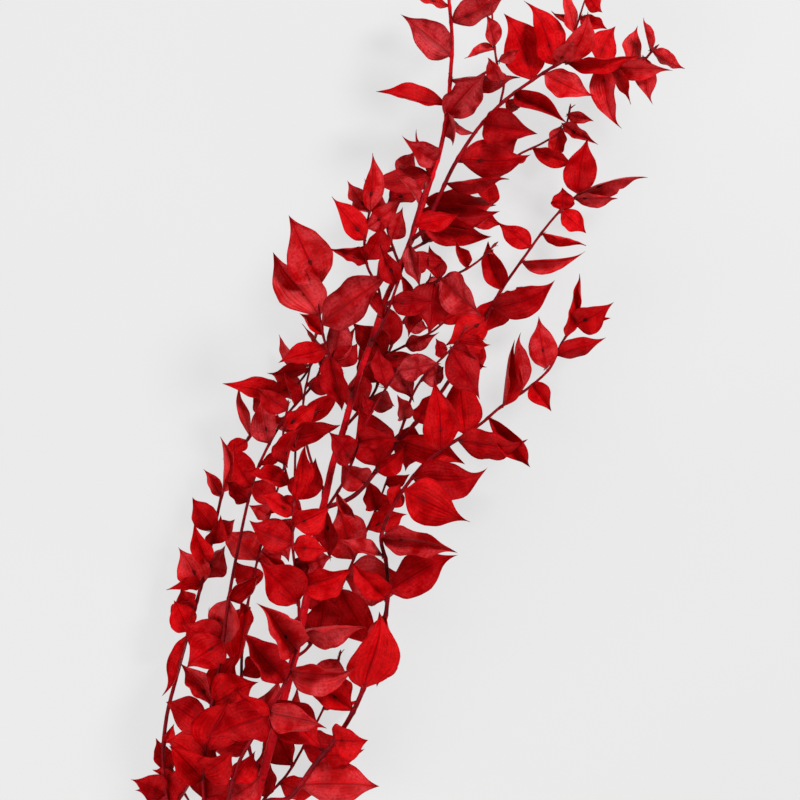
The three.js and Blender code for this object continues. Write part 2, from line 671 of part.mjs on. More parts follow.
function leafSamples(rings) {
  const samples = [];
  const shares = [0, ...leafStations, 1];
  for (let i = 1; i < rings.length; i += 1) {
    const [a, b] = [rings[i - 1], rings[i]].map((ring) => (
      ring.length === 1 ? Array(4).fill(ring[0]) : ring
    ));
    const ribBefore = a[1].clone().lerp(a[3], 0.5);
    const ribAfter = b[1].clone().lerp(b[3], 0.5);
    const rows = Math.ceil(ribBefore.distanceTo(ribAfter) / sampleGap);
    for (let row = i === 1 ? 0 : 1; row <= rows; row += 1) {
      const t = row / rows;
      const share = mix(shares[i - 1], shares[i], t);
      const rib = ribBefore.clone().lerp(ribAfter, t);
      samples.push({ point: rib, share });
      for (const edge of [a[0].clone().lerp(b[0], t), a[2].clone().lerp(b[2], t)]) {
        const steps = Math.max(1, Math.ceil(edge.distanceTo(rib) / sampleGap));
        for (let step = 1; step <= steps; step += 1) {
          samples.push({ point: rib.clone().lerp(edge, step / steps), share });
        }
      }
    }
  }
  return samples;
}

function twigSamples(axis, [startRadius, endRadius]) {
  const samples = [];
  const count = Math.ceil(axis.length / sampleGap);
  for (let i = 0; i <= count; i += 1) {
    const { point, direction } = placeOnAxis(axis, (axis.length * i) / count);
    const radius = mix(startRadius, endRadius, i / count);
    const across = new THREE.Vector3().crossVectors(direction, up).normalize();
    const over = new THREE.Vector3().crossVectors(across, direction);
    const around = Math.ceil((2 * Math.PI * radius) / sampleGap);
    for (let k = 0; k < around; k += 1) {
      const angle = (2 * Math.PI * k) / around;
      const on = point.clone()
        .addScaledVector(across, radius * Math.cos(angle))
        .addScaledVector(over, radius * Math.sin(angle));
      samples.push({ point: on, share: 0 });
    }
  }
  return samples;
}

// ---------- placing the leaves ----------

// Ways to turn a leaf that would cross something, the smallest change first.
const turns = [];
for (const lift of [0, 12, -12, 24, -24, 36, -36]) {
  for (const roll of [0, 25, -25, 50, -50]) {
    for (const bearing of [0, 10, -10, 20, -20]) {
      for (const size of [1, 0.85]) {
        const cost = Math.abs(lift) * 2 + Math.abs(roll) + Math.abs(bearing) * 4
          + (size < 1 ? 60 : 0);
        turns.push({ lift, roll, bearing, size, cost });
      }
    }
  }
}
turns.sort((a, b) => a.cost - b.cost);

function ruleLeaf(twig, index, distance) {
  const random = randomFrom(twig.seed * 1000 + index);
  const around = (spread) => (random() * 2 - 1) * spread;
  const { point, direction } = placeOnAxis(twig.axis, distance);
  const { open, turn, size } = twig.rows;
  const side = index % 2 === 0 ? 1 : -1;
  const opening = radians(open + around(16));
  const rowTurn = radians(turn + around(22));
  const taper = mix(1, 0.8, distance / twig.axis.length);
  return {
    base: point,
    bearing: Math.atan2(direction.y, direction.x) + side * opening * Math.cos(rowTurn),
    lift: Math.asin(direction.z) + side * opening * Math.sin(rowTurn) + radians(around(18)),
    roll: radians(around(1) ** 3 * 80 + around(22)),
    length: size * taper * (1 + around(0.16)),
    width: 0.47 + around(0.05),
    bend: radians(-12 + around(42)),
    sway: radians(around(26)),
    twist: radians(around(40)),
    fold: radians(14 + around(20)),
  };
}

function posedLeaf(twig, index, [distance, x, y, z, roll, width]) {
  const random = randomFrom(twig.seed * 1000 + 500 + index);
  const around = (spread) => (random() * 2 - 1) * spread;
  const { point } = placeOnAxis(twig.axis, Math.min(distance, twig.axis.length - lastLeafInset));
  const reach = new THREE.Vector3(x, y, z).sub(point);
  return {
    base: point,
    bearing: Math.atan2(reach.y, reach.x),
    lift: Math.asin(reach.z / reach.length()),
    roll: radians(roll),
    length: reach.length(),
    width,
    bend: radians(-6 + around(26)),
    sway: radians(around(20)),
    twist: radians(around(26)),
    fold: radians(12 + around(14)),
  };
}

// The first way to set a leaf clear of everything placed before it, or nothing.
function settle(leaf, owner) {
  for (const turn of turns) {
    const tried = {
      ...leaf,
      lift: leaf.lift + radians(turn.lift),
      roll: leaf.roll + radians(turn.roll),
      bearing: leaf.bearing + radians(turn.bearing),
      length: leaf.length * turn.size,
    };
    if (lowestPoint(tried) >= -pressDepth) {
      const rings = leafRings(tried);
      const samples = leafSamples(rings);
      if (isClear(samples, owner)) {
        occupy(samples, { node: owner.node, isTwig: false });
        return rings;
      }
    }
  }
  return null;
}

// A posed leaf takes the place of the nearest one of the rule.
function leavesOfTwig(twig) {
  const places = [];
  const { first, gap } = twig.rows;
  for (let at = first; at < twig.axis.length; at += gap) places.push(at);
  const posed = twig.posed.map((pose, i) => posedLeaf(twig, i, pose));
  const kept = new Set(places.keys());
  for (const [distance] of twig.posed) {
    const nearest = [...kept].sort((a, b) => (
      Math.abs(places[a] - distance) - Math.abs(places[b] - distance)
    ))[0];
    kept.delete(nearest);
  }
  const ruled = [...kept].map((i) => ruleLeaf(twig, i, places[i]));
  return { posed, ruled };
}

// ---------- assembly ----------

const wasm = await Module();
wasm.setup();

function solidOf(geometry) {
  return new wasm.Manifold(new wasm.Mesh({
    numProp: 3,
    vertProperties: new Float32Array(geometry.getAttribute('position').array),
    triVerts: new Uint32Array(geometry.index.array),
  }));
}

function meshOf(solid, name, material) {
  const { vertProperties, triVerts } = solid.getMesh();
  const mesh = new THREE.Mesh(geometryOf(vertProperties, Array.from(triVerts)), material);
  mesh.name = name;
  return mesh;
}

// Every twig of a node, the forks after what they spring from.
function twigsOf(shoot, parentAxis) {
  const root = parentAxis ? [placeOnAxis(parentAxis, shoot.from).point] : [];
  const axis = axisThrough([...root, ...shoot.path.map((p) => new THREE.Vector3(...p))]);
  const forks = (shoot.twigs ?? []).flatMap((twig) => twigsOf(twig, axis));
  return [{ ...shoot, axis }, ...forks];
}

const [mainTwig] = twigsOf(mainStem, null);
const nodes = [
  { name: mainStem.name, twigs: [mainTwig], sides: stemSides, material: stemRed },
  ...sideShoots.map((shoot) => ({
    name: shoot.name,
    twigs: twigsOf(shoot, mainTwig.axis),
    sides: twigSides,
    material: leafRed,
  })),
];

for (const node of nodes) {
  for (const twig of node.twigs) {
    occupy(twigSamples(twig.axis, twig.radius), { node, isTwig: true });
  }
}
const plans = nodes.flatMap((node) => node.twigs.map((twig) => (
  { node, ...leavesOfTwig(twig) }
)));
for (const node of nodes) node.leaves = [];
for (const kind of ['posed', 'ruled']) {
  for (const plan of plans) {
    for (const leaf of plan[kind]) {
      const rings = settle(leaf, { node: plan.node });
      if (rings) plan.node.leaves.push(rings);
    }
  }
}

const seat = solidOf(skin(tubeRings(mainTwig.axis, mainTwig.radius, stemSides, seatGap)));
const spray = new THREE.Group();
for (const node of nodes) {
  const parts = [
    ...node.twigs.map((twig) => skin(tubeRings(twig.axis, twig.radius, node.sides, 0))),
    ...node.leaves.map(skin),
  ];
  let solid = parts.map(solidOf).reduce((joined, part) => joined.add(part));
  if (node.name !== mainStem.name) solid = solid.subtract(seat);
  spray.add(meshOf(solid, node.name, node.material));
}
spray.rotation.z = radians(leanOfSpray);
spray.position.set(sketchShift.x, sketchShift.y, 0);

const ruscusStem = new THREE.Group();
ruscusStem.add(spray);

export default ruscusStem;
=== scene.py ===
"""A dried, red-dyed ruscus stem lying on a pale floor.

The stem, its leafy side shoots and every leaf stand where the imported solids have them: the
routes and the rule that places the leaves are the same as in the part's source, in the same
millimetres on a flat sketch. Here each leaf is a thin, veined, curled blade, each twig is
ridged and carries papery scales, and everything is dyed red with procedural materials.
"""

import math

import bpy
import numpy as np
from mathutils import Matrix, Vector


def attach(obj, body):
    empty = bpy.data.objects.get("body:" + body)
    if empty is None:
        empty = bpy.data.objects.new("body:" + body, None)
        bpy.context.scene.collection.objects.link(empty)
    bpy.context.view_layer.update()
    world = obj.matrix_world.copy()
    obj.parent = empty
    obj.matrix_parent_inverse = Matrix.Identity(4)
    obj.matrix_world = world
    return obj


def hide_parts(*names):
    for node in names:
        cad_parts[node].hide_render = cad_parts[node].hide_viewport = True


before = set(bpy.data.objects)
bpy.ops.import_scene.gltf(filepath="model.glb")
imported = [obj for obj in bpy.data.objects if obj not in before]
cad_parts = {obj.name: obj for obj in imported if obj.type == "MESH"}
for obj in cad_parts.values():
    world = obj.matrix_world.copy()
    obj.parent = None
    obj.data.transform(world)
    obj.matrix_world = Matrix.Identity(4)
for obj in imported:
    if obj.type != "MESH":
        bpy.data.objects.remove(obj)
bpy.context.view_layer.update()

# ---------- sizes shared with the solids ----------

LEAN_OF_SPRAY = 21.0  # degrees between the spray's long axis and the sketch's upright
SKETCH_SHIFT = (-0.3, 47.2)  # brings the middle of the turned spray to the origin
MM = 0.001

TIP_CUT = 0.985  # a leaf's last point, as a share of its length
LAST_LEAF_INSET = 1.2  # how far before its twig's end the last leaf stands
ROOT_SHARE = -0.008  # a leaf's first point, past its twig's axis, as a share of its length
RIB_THICKNESS = 1.2
CLEARANCE = 1.75  # between the middle surfaces of any two pieces
SAMPLE_GAP = 1.2  # between the points that stand for a surface in that test
PRESS_DEPTH = 5.0  # how far a leaf may be pressed flat by the surface it lies on
RING_GAP = 22.0  # between the knots of an axis

# Half of a leaf's width along its length, as shares of the widest place.
LEAF_OUTLINE = [
    (0.0, 0.04), (0.05, 0.26), (0.12, 0.66), (0.22, 0.9), (0.36, 1.04), (0.48, 1.0),
    (0.6, 0.86), (0.72, 0.6), (0.82, 0.35), (0.9, 0.16), (0.96, 0.05), (1.0, 0.0),
]
LEAF_STATIONS = (0.12, 0.34, 0.6, 0.82)

# ---------- the routes ----------


def twig_plan(start, radius, seed, rows, path, posed, forks=()):
    """One stem, shoot or twig.

    It springs from its parent's axis at the distance start. Its radius goes from the first to
    the second value along a path of points (x, y, height). Rows are the first leaf's distance,
    the gap between leaves, how far they open, the turn of the rows round the twig and a leaf's
    length. A posed leaf is (distance along the twig, tip x, tip y, tip height, roll, width as a
    share of the length). Forks are twigs that spring from this one.
    """
    named_rows = dict(zip(("first", "gap", "open", "turn", "size"), rows))
    return {"from": start, "radius": radius, "seed": seed, "rows": named_rows, "path": path,
            "posed": posed, "forks": forks}


MAIN_STEM = twig_plan(0, (3.7, 1.1), 1, (545, 14, 50, 10, 36), [
    (-128, -369, 3.42), (-121, -344, 7), (-114, -322, 12), (-105, -298, 17), (-94, -260, 24),
    (-84, -224, 31), (-75, -192, 37), (-67, -159, 41), (-60, -124, 44), (-55, -91, 46), (-49, -65, 47),
    (-44, -42, 48), (-38, -23, 48), (-31, 2, 48), (-25, 21, 48), (-18, 40, 48), (-10, 64, 48),
    (-1, 84, 47), (7, 104, 47), (15, 127, 46), (21, 146, 45), (26, 162, 45), (31, 188, 44),
    (33, 214, 43), (34, 234, 43), (32, 260, 42), (30, 280, 42),
], [
    (513, 60, 105, 54, 30, 0.42), (517, 65, 125, 62, 15, 0.42), (524, 73, 128, 54, 30, 0.42),
    (538, 7, 175, 51, 65, 0.34), (541, -24, 142, 59, 20, 0.32), (550, -4, 174, 55, 10, 0.46),
    (580, 57, 214, 58, 20, 0.5), (583, 36, 165, 54, 15, 0.62), (583, 51, 172, 50, 40, 0.45),
    (588, -14, 204, 52, 50, 0.38), (605, 78, 212, 53, 60, 0.4), (621, 1, 252, 49, 10, 0.5),
    (643, 73, 265, 51, 45, 0.42), (653, 3, 264, 46, 60, 0.45),
])

SIDE_SHOOTS = [
    twig_plan(105, (2, 0.8), 2, (40, 15, 52, 15, 38), [
        (-86, -263, 30), (-72, -260, 34), (-55, -237, 42), (-42, -221, 48), (-32, -205, 54),
        (-25, -190, 58), (-16, -166, 62), (-10, -143, 64), (-8, -124, 65), (-9, -105, 65),
        (-12, -88, 64), (-3, -66, 60), (16, -41, 54), (34, -28, 50), (52, -16, 47), (65, -5, 45),
        (84, 8, 42), (98, 21, 40), (105, 36, 38), (115, 51, 36),
    ], [
        (40, -12, -252, 41, 10, 0.4), (66, -22, -230, 40, 20, 0.5), (79, -20, -220, 62, 10, 0.7),
        (104, -64, -179, 45, 10, 0.55), (120, -11, -133, 68, 5, 0.48), (152, -14, -190, 67, 10, 0.7),
        (172, -4, -178, 70, 35, 0.5), (181, -31, -103, 73, 10, 0.5), (186, 38, -99, 67, 10, 0.46),
        (209, -39, -87, 73, 66, 0.4), (221, 37, -98, 76, 0, 0.52), (242, 1, -53, 51, 20, 0.5),
        (256, 45, -79, 64, 10, 0.5), (266, 57, -46, 66, 5, 0.5), (291, 20, 13, 66, 20, 0.44),
        (305, 83, -30, 55, 35, 0.45), (311, 39, 22, 57, 5, 0.52), (330, 86, -47, 54, 5, 0.5),
        (342, 71, 40, 51, 45, 0.42), (357, 76, 47, 41, 55, 0.4), (366, 99, -7, 48, 0, 0.8),
        (380, 91, 55, 46, 5, 0.44), (391, 135, 39, 45, 40, 0.38), (405, 113, 69, 39, 50, 0.42),
        (416, 137, 54, 28, 30, 0.4), (417, 119, 83, 44, 0, 0.48), (417, 142, 65, 54, 15, 0.5),
    ]),
    twig_plan(312, (1.7, 0.8), 3, (20, 14, 50, -10, 34), [
        (-31, -63, 44), (-17, -48, 40), (-2, -28, 36), (11, -14, 34), (24, 1, 32), (37, 20, 30),
        (51, 40, 28), (58, 57, 27), (67, 73, 26), (81, 93, 26), (94, 111, 26), (105, 124, 26),
        (118, 136, 26),
    ], [
        (33, -40, -38, 50, 5, 0.7), (44, 3, -30, 34, 20, 0.6), (48, -29, -1, 53, 5, 0.5),
        (56, -27, -7, 44, 5, 0.6), (69, 41, -40, 52, 10, 0.38), (83, 3, -51, 38, 10, 0.5),
        (86, 23, 7, 42, 10, 0.55), (154, 47, 3, 38, 10, 0.42), (169, 29, 36, 41, 10, 0.5),
        (177, 103, 77, 35, 30, 0.42), (183, 55, 41, 32, 10, 0.75), (187, 81, 74, 24, 55, 0.4),
        (190, 58, 105, 36, 10, 0.55), (213, 122, 96, 32, 45, 0.32), (224, 64, 116, 34, 5, 0.42),
        (236, 123, 103, 28, 55, 0.34), (255, 123, 109, 32, 0, 0.5), (256, 107, 140, 34, 0, 0.75),
        (267, 143, 133, 30, 50, 0.42), (272, 123, 171, 36, 0, 0.5), (272, 162, 148, 36, 60, 0.36),
    ], [
        twig_plan(66, (1.1, 0.7), 4, (20, 13, 50, 0, 33), [
            (3, -13, 46), (8, 3, 54), (16, 16, 60), (26, 26, 63), (36, 36, 65), (42, 46, 66),
        ], [
            (51, 32, 22, 52, 10, 0.6), (71, 23, 40, 65, 20, 0.6), (79, 56, 21, 66, 10, 0.5),
            (80, 53, 0, 66, 10, 0.5), (84, 58, 35, 71, 10, 0.6),
        ]),
    ]),
    twig_plan(96, (1.1, 0.7), 5, (20, 14, 52, 0, 36), [
        (-90, -264, 15), (-75, -248, 12), (-62, -226, 9), (-51, -205, 7), (-44, -188, 6),
        (-40, -169, 6),
    ], [
        (114, -32, -203, 10, 10, 0.6), (125, -52, -192, 8, 10, 0.6),
    ]),
    twig_plan(60, (1.6, 0.8), 6, (50, 13, 55, 0, 36), [
        (-112, -292, 34), (-114, -273, 46), (-110, -254, 58), (-104, -234, 68), (-94, -216, 76),
        (-86, -203, 79), (-75, -184, 80), (-68, -166, 80), (-65, -150, 80), (-65, -130, 80),
        (-67, -110, 80), (-69, -91, 80), (-68, -65, 79), (-67, -26, 78),
    ], [
        (68, -90, -244, 47, 20, 0.5), (81, -93, -228, 55, 20, 0.55), (126, -104, -185, 87, 10, 0.5),
        (137, -125, -218, 75, 5, 0.5), (138, -47, -209, 83, 10, 0.44), (147, -50, -226, 74, 10, 0.45),
        (160, -100, -147, 86, 10, 0.44), (168, -25, -174, 72, 25, 0.4), (182, -92, -127, 86, 10, 0.68),
        (194, -22, -146, 88, 58, 0.45), (212, -92, -102, 84, 15, 0.6), (222, -31, -107, 86, 10, 0.48),
        (226, -64, -97, 72, 10, 0.6), (230, -88, -98, 90, 40, 0.4), (236, -44, -100, 74, 20, 0.6),
        (248, -42, -96, 88, 20, 0.42), (250, -97, -78, 84, 15, 0.5), (254, -85, -75, 70, 10, 0.6),
        (262, -45, -68, 88, 20, 0.6), (269, -91, -59, 87, 45, 0.45), (276, -63, -27, 87, 20, 0.42),
    ]),
    twig_plan(50, (1.7, 0.8), 7, (40, 15, 50, 20, 35), [
        (-125, -299, 26), (-128, -254, 44), (-127, -234, 50), (-125, -214, 54), (-122, -198, 56),
        (-119, -182, 57), (-116, -166, 57), (-112, -136, 57), (-109, -117, 56), (-105, -96, 55),
        (-100, -72, 55), (-94, -49, 56), (-84, -27, 57), (-72, -8, 58), (-58, 8, 58), (-49, 25, 58),
    ], [
        (71, -120, -224, 51, 10, 0.5), (85, -149, -223, 62, 10, 0.5), (89, -105, -223, 61, 10, 0.55),
        (95, -154, -222, 31, 10, 0.5), (105, -109, -194, 63, 10, 0.5), (121, -154, -197, 40, 10, 0.42),
        (136, -142, -170, 48, 30, 0.4), (137, -93, -182, 64, 10, 0.62), (139, -103, -165, 62, 10, 0.5),
        (177, -143, -144, 47, 20, 0.5), (179, -138, -172, 51, 10, 0.6), (205, -122, -166, 49, 25, 0.4),
        (205, -90, -113, 55, 10, 0.7), (270, -113, -52, 57, 20, 0.7),
    ]),
    twig_plan(36, (1.7, 0.8), 8, (60, 14, 50, 10, 35), [
        (-134, -315, 10), (-149, -280, 16), (-156, -244, 20), (-154, -211, 22), (-147, -182, 23),
        (-140, -156, 24), (-133, -130, 24), (-127, -107, 24), (-122, -84, 24), (-116, -58, 24),
        (-107, -37, 24), (-98, -23, 24), (-88, -12, 25), (-77, 1, 26), (-65, 13, 28), (-57, 25, 30),
    ], [
        (85, -177, -249, 22, 10, 0.5), (101, -162, -223, 20, 40, 0.42), (119, -148, -212, 19, 20, 0.4),
        (193, -151, -197, 26, 60, 0.26), (195, -149, -130, 28, 20, 0.5), (209, -144, -124, 20, 10, 0.6),
        (215, -149, -156, 24, 30, 0.6), (225, -146, -97, 28, 5, 0.48), (227, -153, -124, 40, 25, 0.38),
        (231, -113, -92, 20, 20, 0.5), (241, -136, -79, 30, 10, 0.4), (254, -116, -74, 24, 30, 0.5),
        (261, -108, -79, 26, 20, 0.6), (263, -137, -64, 30, 5, 0.44), (286, -129, -45, 26, 45, 0.36),
        (289, -116, -22, 28, 30, 0.36), (327, -115, -39, 32, 20, 0.42), (330, -108, 10, 28, 65, 0.26),
        (349, -96, 8, 19, 10, 0.5), (364, -115, 12, 40, 25, 0.36), (375, -90, 1, 31, 20, 0.45),
        (389, -86, 17, 37, 20, 0.36),
    ]),
    twig_plan(304, (1.2, 0.7), 9, (24, 13, 55, 0, 34), [
        (-46, -68, 58), (-36, -52, 64), (-28, -32, 66), (-21, -13, 67), (-12, 3, 67), (-1, 20, 67),
    ], [
        (11, -46, -105, 49, 20, 0.44), (27, -28, -77, 55, 20, 0.5), (71, -5, -26, 67, 20, 0.7),
        (81, -24, 3, 69, 20, 0.6),
    ]),
    twig_plan(496, (1.6, 0.75), 10, (24, 13, 50, 15, 34), [
        (16, 112, 54), (26, 133, 60), (34, 150, 62), (45, 168, 62), (55, 181, 61), (68, 194, 60),
        (84, 206, 58), (101, 217, 56), (110, 220, 55), (130, 219, 53), (143, 217, 51), (155, 218, 50),
        (165, 228, 50),
    ], [
        (46, 70, 146, 71, 50, 0.36), (64, 85, 157, 66, 25, 0.46), (93, 91, 169, 73, 5, 0.6),
        (113, 77, 189, 46, 20, 0.6), (121, 108, 177, 69, 5, 0.52), (135, 69, 250, 66, 10, 0.52),
        (144, 125, 195, 63, 10, 0.45), (153, 82, 259, 68, 15, 0.42), (155, 114, 240, 70, 20, 0.4),
        (161, 121, 250, 73, 25, 0.42), (161, 156, 224, 69, 30, 0.36), (181, 141, 243, 49, 10, 0.55),
        (184, 141, 175, 57, 25, 0.36), (186, 176, 217, 61, 55, 0.35), (190, 150, 192, 50, 55, 0.4),
        (202, 155, 244, 43, 40, 0.5), (213, 162, 192, 52, 45, 0.42), (219, 159, 245, 52, 40, 0.42),
        (220, 155, 251, 58, 60, 0.4), (220, 185, 215, 54, 40, 0.42),
    ], [
        twig_plan(108, (0.9, 0.6), 11, (16, 13, 45, 0, 26), [
            (67, 205, 68), (63, 214, 71), (60, 234, 73), (59, 260, 74), (60, 272, 74),
        ], [
            (30, 77, 227, 71, 40, 0.5), (38, 42, 218, 76, 40, 0.45), (40, 55, 248, 78, 30, 0.5),
        ]),
        twig_plan(62, (1, 0.7), 12, (20, 13, 50, 10, 32), [
            (49, 154, 52), (65, 153, 42), (80, 162, 33), (94, 169, 27), (108, 179, 23), (112, 192, 22),
        ], [
            (40, 62, 147, 33, 20, 0.5), (45, 83, 160, 31, 20, 0.5), (62, 116, 155, 30, 40, 0.38),
            (88, 102, 156, 28, 10, 0.6), (90, 130, 169, 33, 20, 0.45), (97, 128, 184, 23, 20, 0.5),
        ]),
        twig_plan(166, (0.8, 0.6), 26, (14, 13, 50, 0, 28), [
            (111, 231, 60), (115, 244, 64), (119, 257, 66), (124, 270, 67),
        ], [
            (20, 101, 267, 68, 50, 0.4), (21, 97, 250, 66, 50, 0.42), (31, 134, 240, 68, 20, 0.55),
            (47, 131, 249, 70, 20, 0.6),
        ]),
    ]),
    twig_plan(450, (1.1, 0.7), 13, (14, 12, 52, 0, 32), [
        (-3, 66, 52), (8, 70, 58), (20, 75, 63), (29, 79, 66), (40, 83, 68), (51, 90, 69), (60, 99, 69),
    ], [
        (28, 5, 40, 63, 5, 0.55), (40, 19, 41, 70, 5, 0.62), (43, 19, 100, 67, 20, 0.6),
        (44, 56, 54, 71, 10, 0.55), (63, 35, 102, 72, 20, 0.75), (79, 63, 97, 63, 20, 0.5),
    ]),
    twig_plan(408, (1, 0.7), 14, (16, 12, 52, 0, 33), [
        (-14, 27, 42), (0, 34, 34), (12, 40, 27), (24, 47, 22), (34, 57, 19),
    ], [
        (17, 16, 27, 50, 30, 0.42), (20, -31, 49, 49, 10, 0.5), (21, 8, 3, 57, 5, 0.62),
        (35, 26, 43, 36, 10, 0.5), (65, 48, 59, 26, 20, 0.42),
    ]),
    twig_plan(390, (1.2, 0.7), 15, (24, 13, 50, 0, 36), [
        (-40, 16, 60), (-48, 36, 68), (-52, 57, 71), (-51, 76, 71),
    ], [
        (27, -26, 36, 59, 20, 0.6), (30, -35, 61, 72, 20, 0.44), (35, -37, -6, 59, 10, 0.55),
        (39, -79, 25, 67, 30, 0.44), (48, -64, 57, 63, 20, 0.6), (55, -4, 83, 76, 5, 0.6),
        (60, -82, 94, 75, 5, 0.54), (83, -74, 125, 77, 0, 0.48),
    ]),
    twig_plan(446, (1.1, 0.7), 16, (16, 12, 50, 0, 32), [
        (-14, 72, 58), (-21, 86, 64), (-23, 101, 67), (-20, 120, 68), (-17, 130, 68),
    ], [
        (22, -10, 99, 54, 20, 0.5), (37, -48, 98, 72, 15, 0.58), (39, -12, 115, 67, 20, 0.6),
        (52, -44, 131, 73, 15, 0.42), (60, 3, 130, 76, 20, 0.38), (70, -35, 142, 68, 20, 0.42),
        (71, -18, 159, 74, 25, 0.36),
    ]),
    twig_plan(70, (1.2, 0.7), 17, (20, 12, 52, 0, 35), [
        (-124, -292, 8), (-135, -274, 7), (-144, -259, 6), (-152, -244, 6),
    ], [
        (58, -175, -257, 8, 5, 0.5), (68, -167, -246, 9, 20, 0.5), (75, -160, -227, 8, 30, 0.42),
    ]),
    twig_plan(132, (1.3, 0.7), 18, (20, 16, 52, 0, 36), [
        (-98, -234, 24), (-103, -208, 15), (-105, -182, 9), (-104, -156, 6), (-100, -130, 5),
        (-94, -104, 5), (-87, -78, 5), (-79, -52, 6), (-74, -32, 7),
    ], [
        (106, -106, -131, 11, 10, 0.5), (114, -108, -181, 25, 35, 0.42), (125, -109, -106, 5, 10, 0.7),
        (145, -119, -87, -4, 0, 0.5), (145, -76, -98, 1, 20, 0.6), (169, -72, -107, -4, 0, 0.5),
        (176, -100, -70, 13, 10, 0.7), (185, -100, -53, 1, 10, 0.6),
    ]),
    twig_plan(212, (1.2, 0.7), 19, (18, 13, 52, 0, 37), [
        (-60, -162, 30), (-48, -143, 19), (-39, -124, 11), (-30, -104, 7), (-21, -84, 5), (-13, -65, 5),
        (-8, -51, 6),
    ], [
        (28, -51, -127, 20, 10, 0.7), (61, -10, -165, 36, 20, 0.36), (69, 10, -115, 30, 5, 0.5),
        (83, -41, -69, 22, 10, 0.5), (105, 5, -75, -4, 0, 0.5), (119, -24, -49, 13, 10, 0.7),
        (119, -5, -62, 7, 20, 0.7), (137, 7, -49, 12, 10, 0.7),
    ]),
    twig_plan(296, (1.1, 0.7), 20, (20, 12, 52, 0, 34), [
        (-62, -78, 58), (-70, -58, 66), (-75, -39, 71), (-75, -20, 73), (-72, -3, 74),
    ], [
        (73, -37, -17, 77, 5, 0.6),
    ]),
    twig_plan(322, (1.1, 0.7), 21, (44, 13, 52, 0, 35), [
        (-56, -46, 38), (-62, -26, 25), (-64, -3, 14), (-60, 20, 8), (-56, 42, 6),
    ], [
        (73, -88, 19, 3, 0, 0.5),
    ]),
    twig_plan(366, (1.2, 0.7), 22, (18, 14, 52, 0, 34), [
        (-29, -10, 38), (-17, 5, 26), (-10, 25, 16), (-1, 46, 10), (10, 65, 6), (20, 81, 5),
    ], [
        (92, 19, 47, 0, 0, 0.5),
    ]),
    twig_plan(478, (1.1, 0.7), 23, (16, 13, 52, 0, 33), [
        (-5, 101, 34), (-9, 118, 22), (-6, 136, 13), (0, 153, 6),
    ], [
        (25, 3, 126, 35, 20, 0.6), (76, 10, 166, -2, 0, 0.5),
    ]),
    twig_plan(488, (1.1, 0.7), 24, (16, 13, 52, 0, 33), [
        (18, 104, 36), (31, 112, 26), (46, 120, 16), (60, 129, 6),
    ], [
        (77, 59, 152, -4, 0, 0.5),
    ]),
    twig_plan(425, (1.2, 0.7), 25, (24, 13, 52, 0, 33), [
        (-13, 46, 60), (-5, 65, 72), (3, 90, 76), (9, 114, 78), (16, 136, 78),
    ], [
        (77, 14, 72, 83, 20, 0.42),
    ]),
]

# ---------- small helpers ----------

UP = np.array([0.0, 0.0, 1.0])
WORD = 0xFFFFFFFF


def unit(vectors):
    return vectors / np.linalg.norm(vectors, axis=-1, keepdims=True)


def turned(vectors, axes, angles):
    """Vectors turned about unit axes."""
    cos = np.cos(angles)[..., None]
    sin = np.sin(angles)[..., None]
    along = np.sum(vectors * axes, axis=-1, keepdims=True)
    return vectors * cos + np.cross(axes, vectors) * sin + axes * along * (1 - cos)


def spread_from(seed):
    """Draws from -spread to spread, the same numbers in the same order as the solids' rule."""
    state = [seed & WORD]

    def draw(spread):
        state[0] = (state[0] + 0x6D2B79F5) & WORD
        t = state[0]
        t = ((t ^ (t >> 15)) * (t | 1)) & WORD
        t ^= (t + ((t ^ (t >> 7)) * (t | 61))) & WORD
        return (((t ^ (t >> 14)) & WORD) / 4294967296 * 2 - 1) * spread

    return draw


def outline_at(shares):
    at, width = zip(*LEAF_OUTLINE)
    return np.interp(shares, at, width)


def smooth_step(low, high, x):
    t = np.clip((x - low) / (high - low), 0, 1)
    return t * t * (3 - 2 * t)


def ring_angles(sides):
    return 2 * np.pi * np.arange(sides) / sides


# ---------- axes of stems and twigs ----------


def on_curve(points, t):
    """Points at the shares t of a smooth curve through the given points."""
    padded = np.vstack([2 * points[0] - points[1], points, 2 * points[-1] - points[-2]])
    spans = len(points) - 1
    place = np.asarray(t) * spans
    first = np.minimum(place.astype(int), spans - 1)
    w = (place - first)[:, None]
    p0, p1, p2, p3 = (padded[first + k] for k in range(4))
    out = 0.5 * (p2 - p0)
    back = 0.5 * (p3 - p1)
    return (p1 + out * w + (3 * (p2 - p1) - 2 * out - back) * w**2
            + (2 * (p1 - p2) + out + back) * w**3)


def lengths_along(points):
    steps = np.linalg.norm(np.diff(points, axis=0), axis=1)
    return np.concatenate([[0], np.cumsum(steps)])


def spaced_points(points, count=None):
    """Points at even distances along the curve."""
    t = np.arange(201) / 200
    lengths = lengths_along(on_curve(points, t))
    if count is None:
        count = max(2, int(lengths[-1] / RING_GAP + 0.5))
    shares = np.arange(count + 1) / count
    return on_curve(points, np.interp(shares * lengths[-1], lengths, t))


def axis_through(points):
    points = np.array(points, float)
    knots = spaced_points(points)
    along = lengths_along(knots)
    return {"points": points, "knots": knots, "along": along, "length": along[-1]}


def place_on_axis(axis, distance):
    """The point at that distance along an axis, and the axis's direction there."""
    along = axis["along"]
    i = int(np.clip(np.searchsorted(along, distance), 1, len(along) - 1))
    share = (distance - along[i - 1]) / (along[i] - along[i - 1])
    before, after = axis["knots"][i - 1], axis["knots"][i]
    return before + (after - before) * share, unit(after - before)


# ---------- one leaf as the solids have it ----------


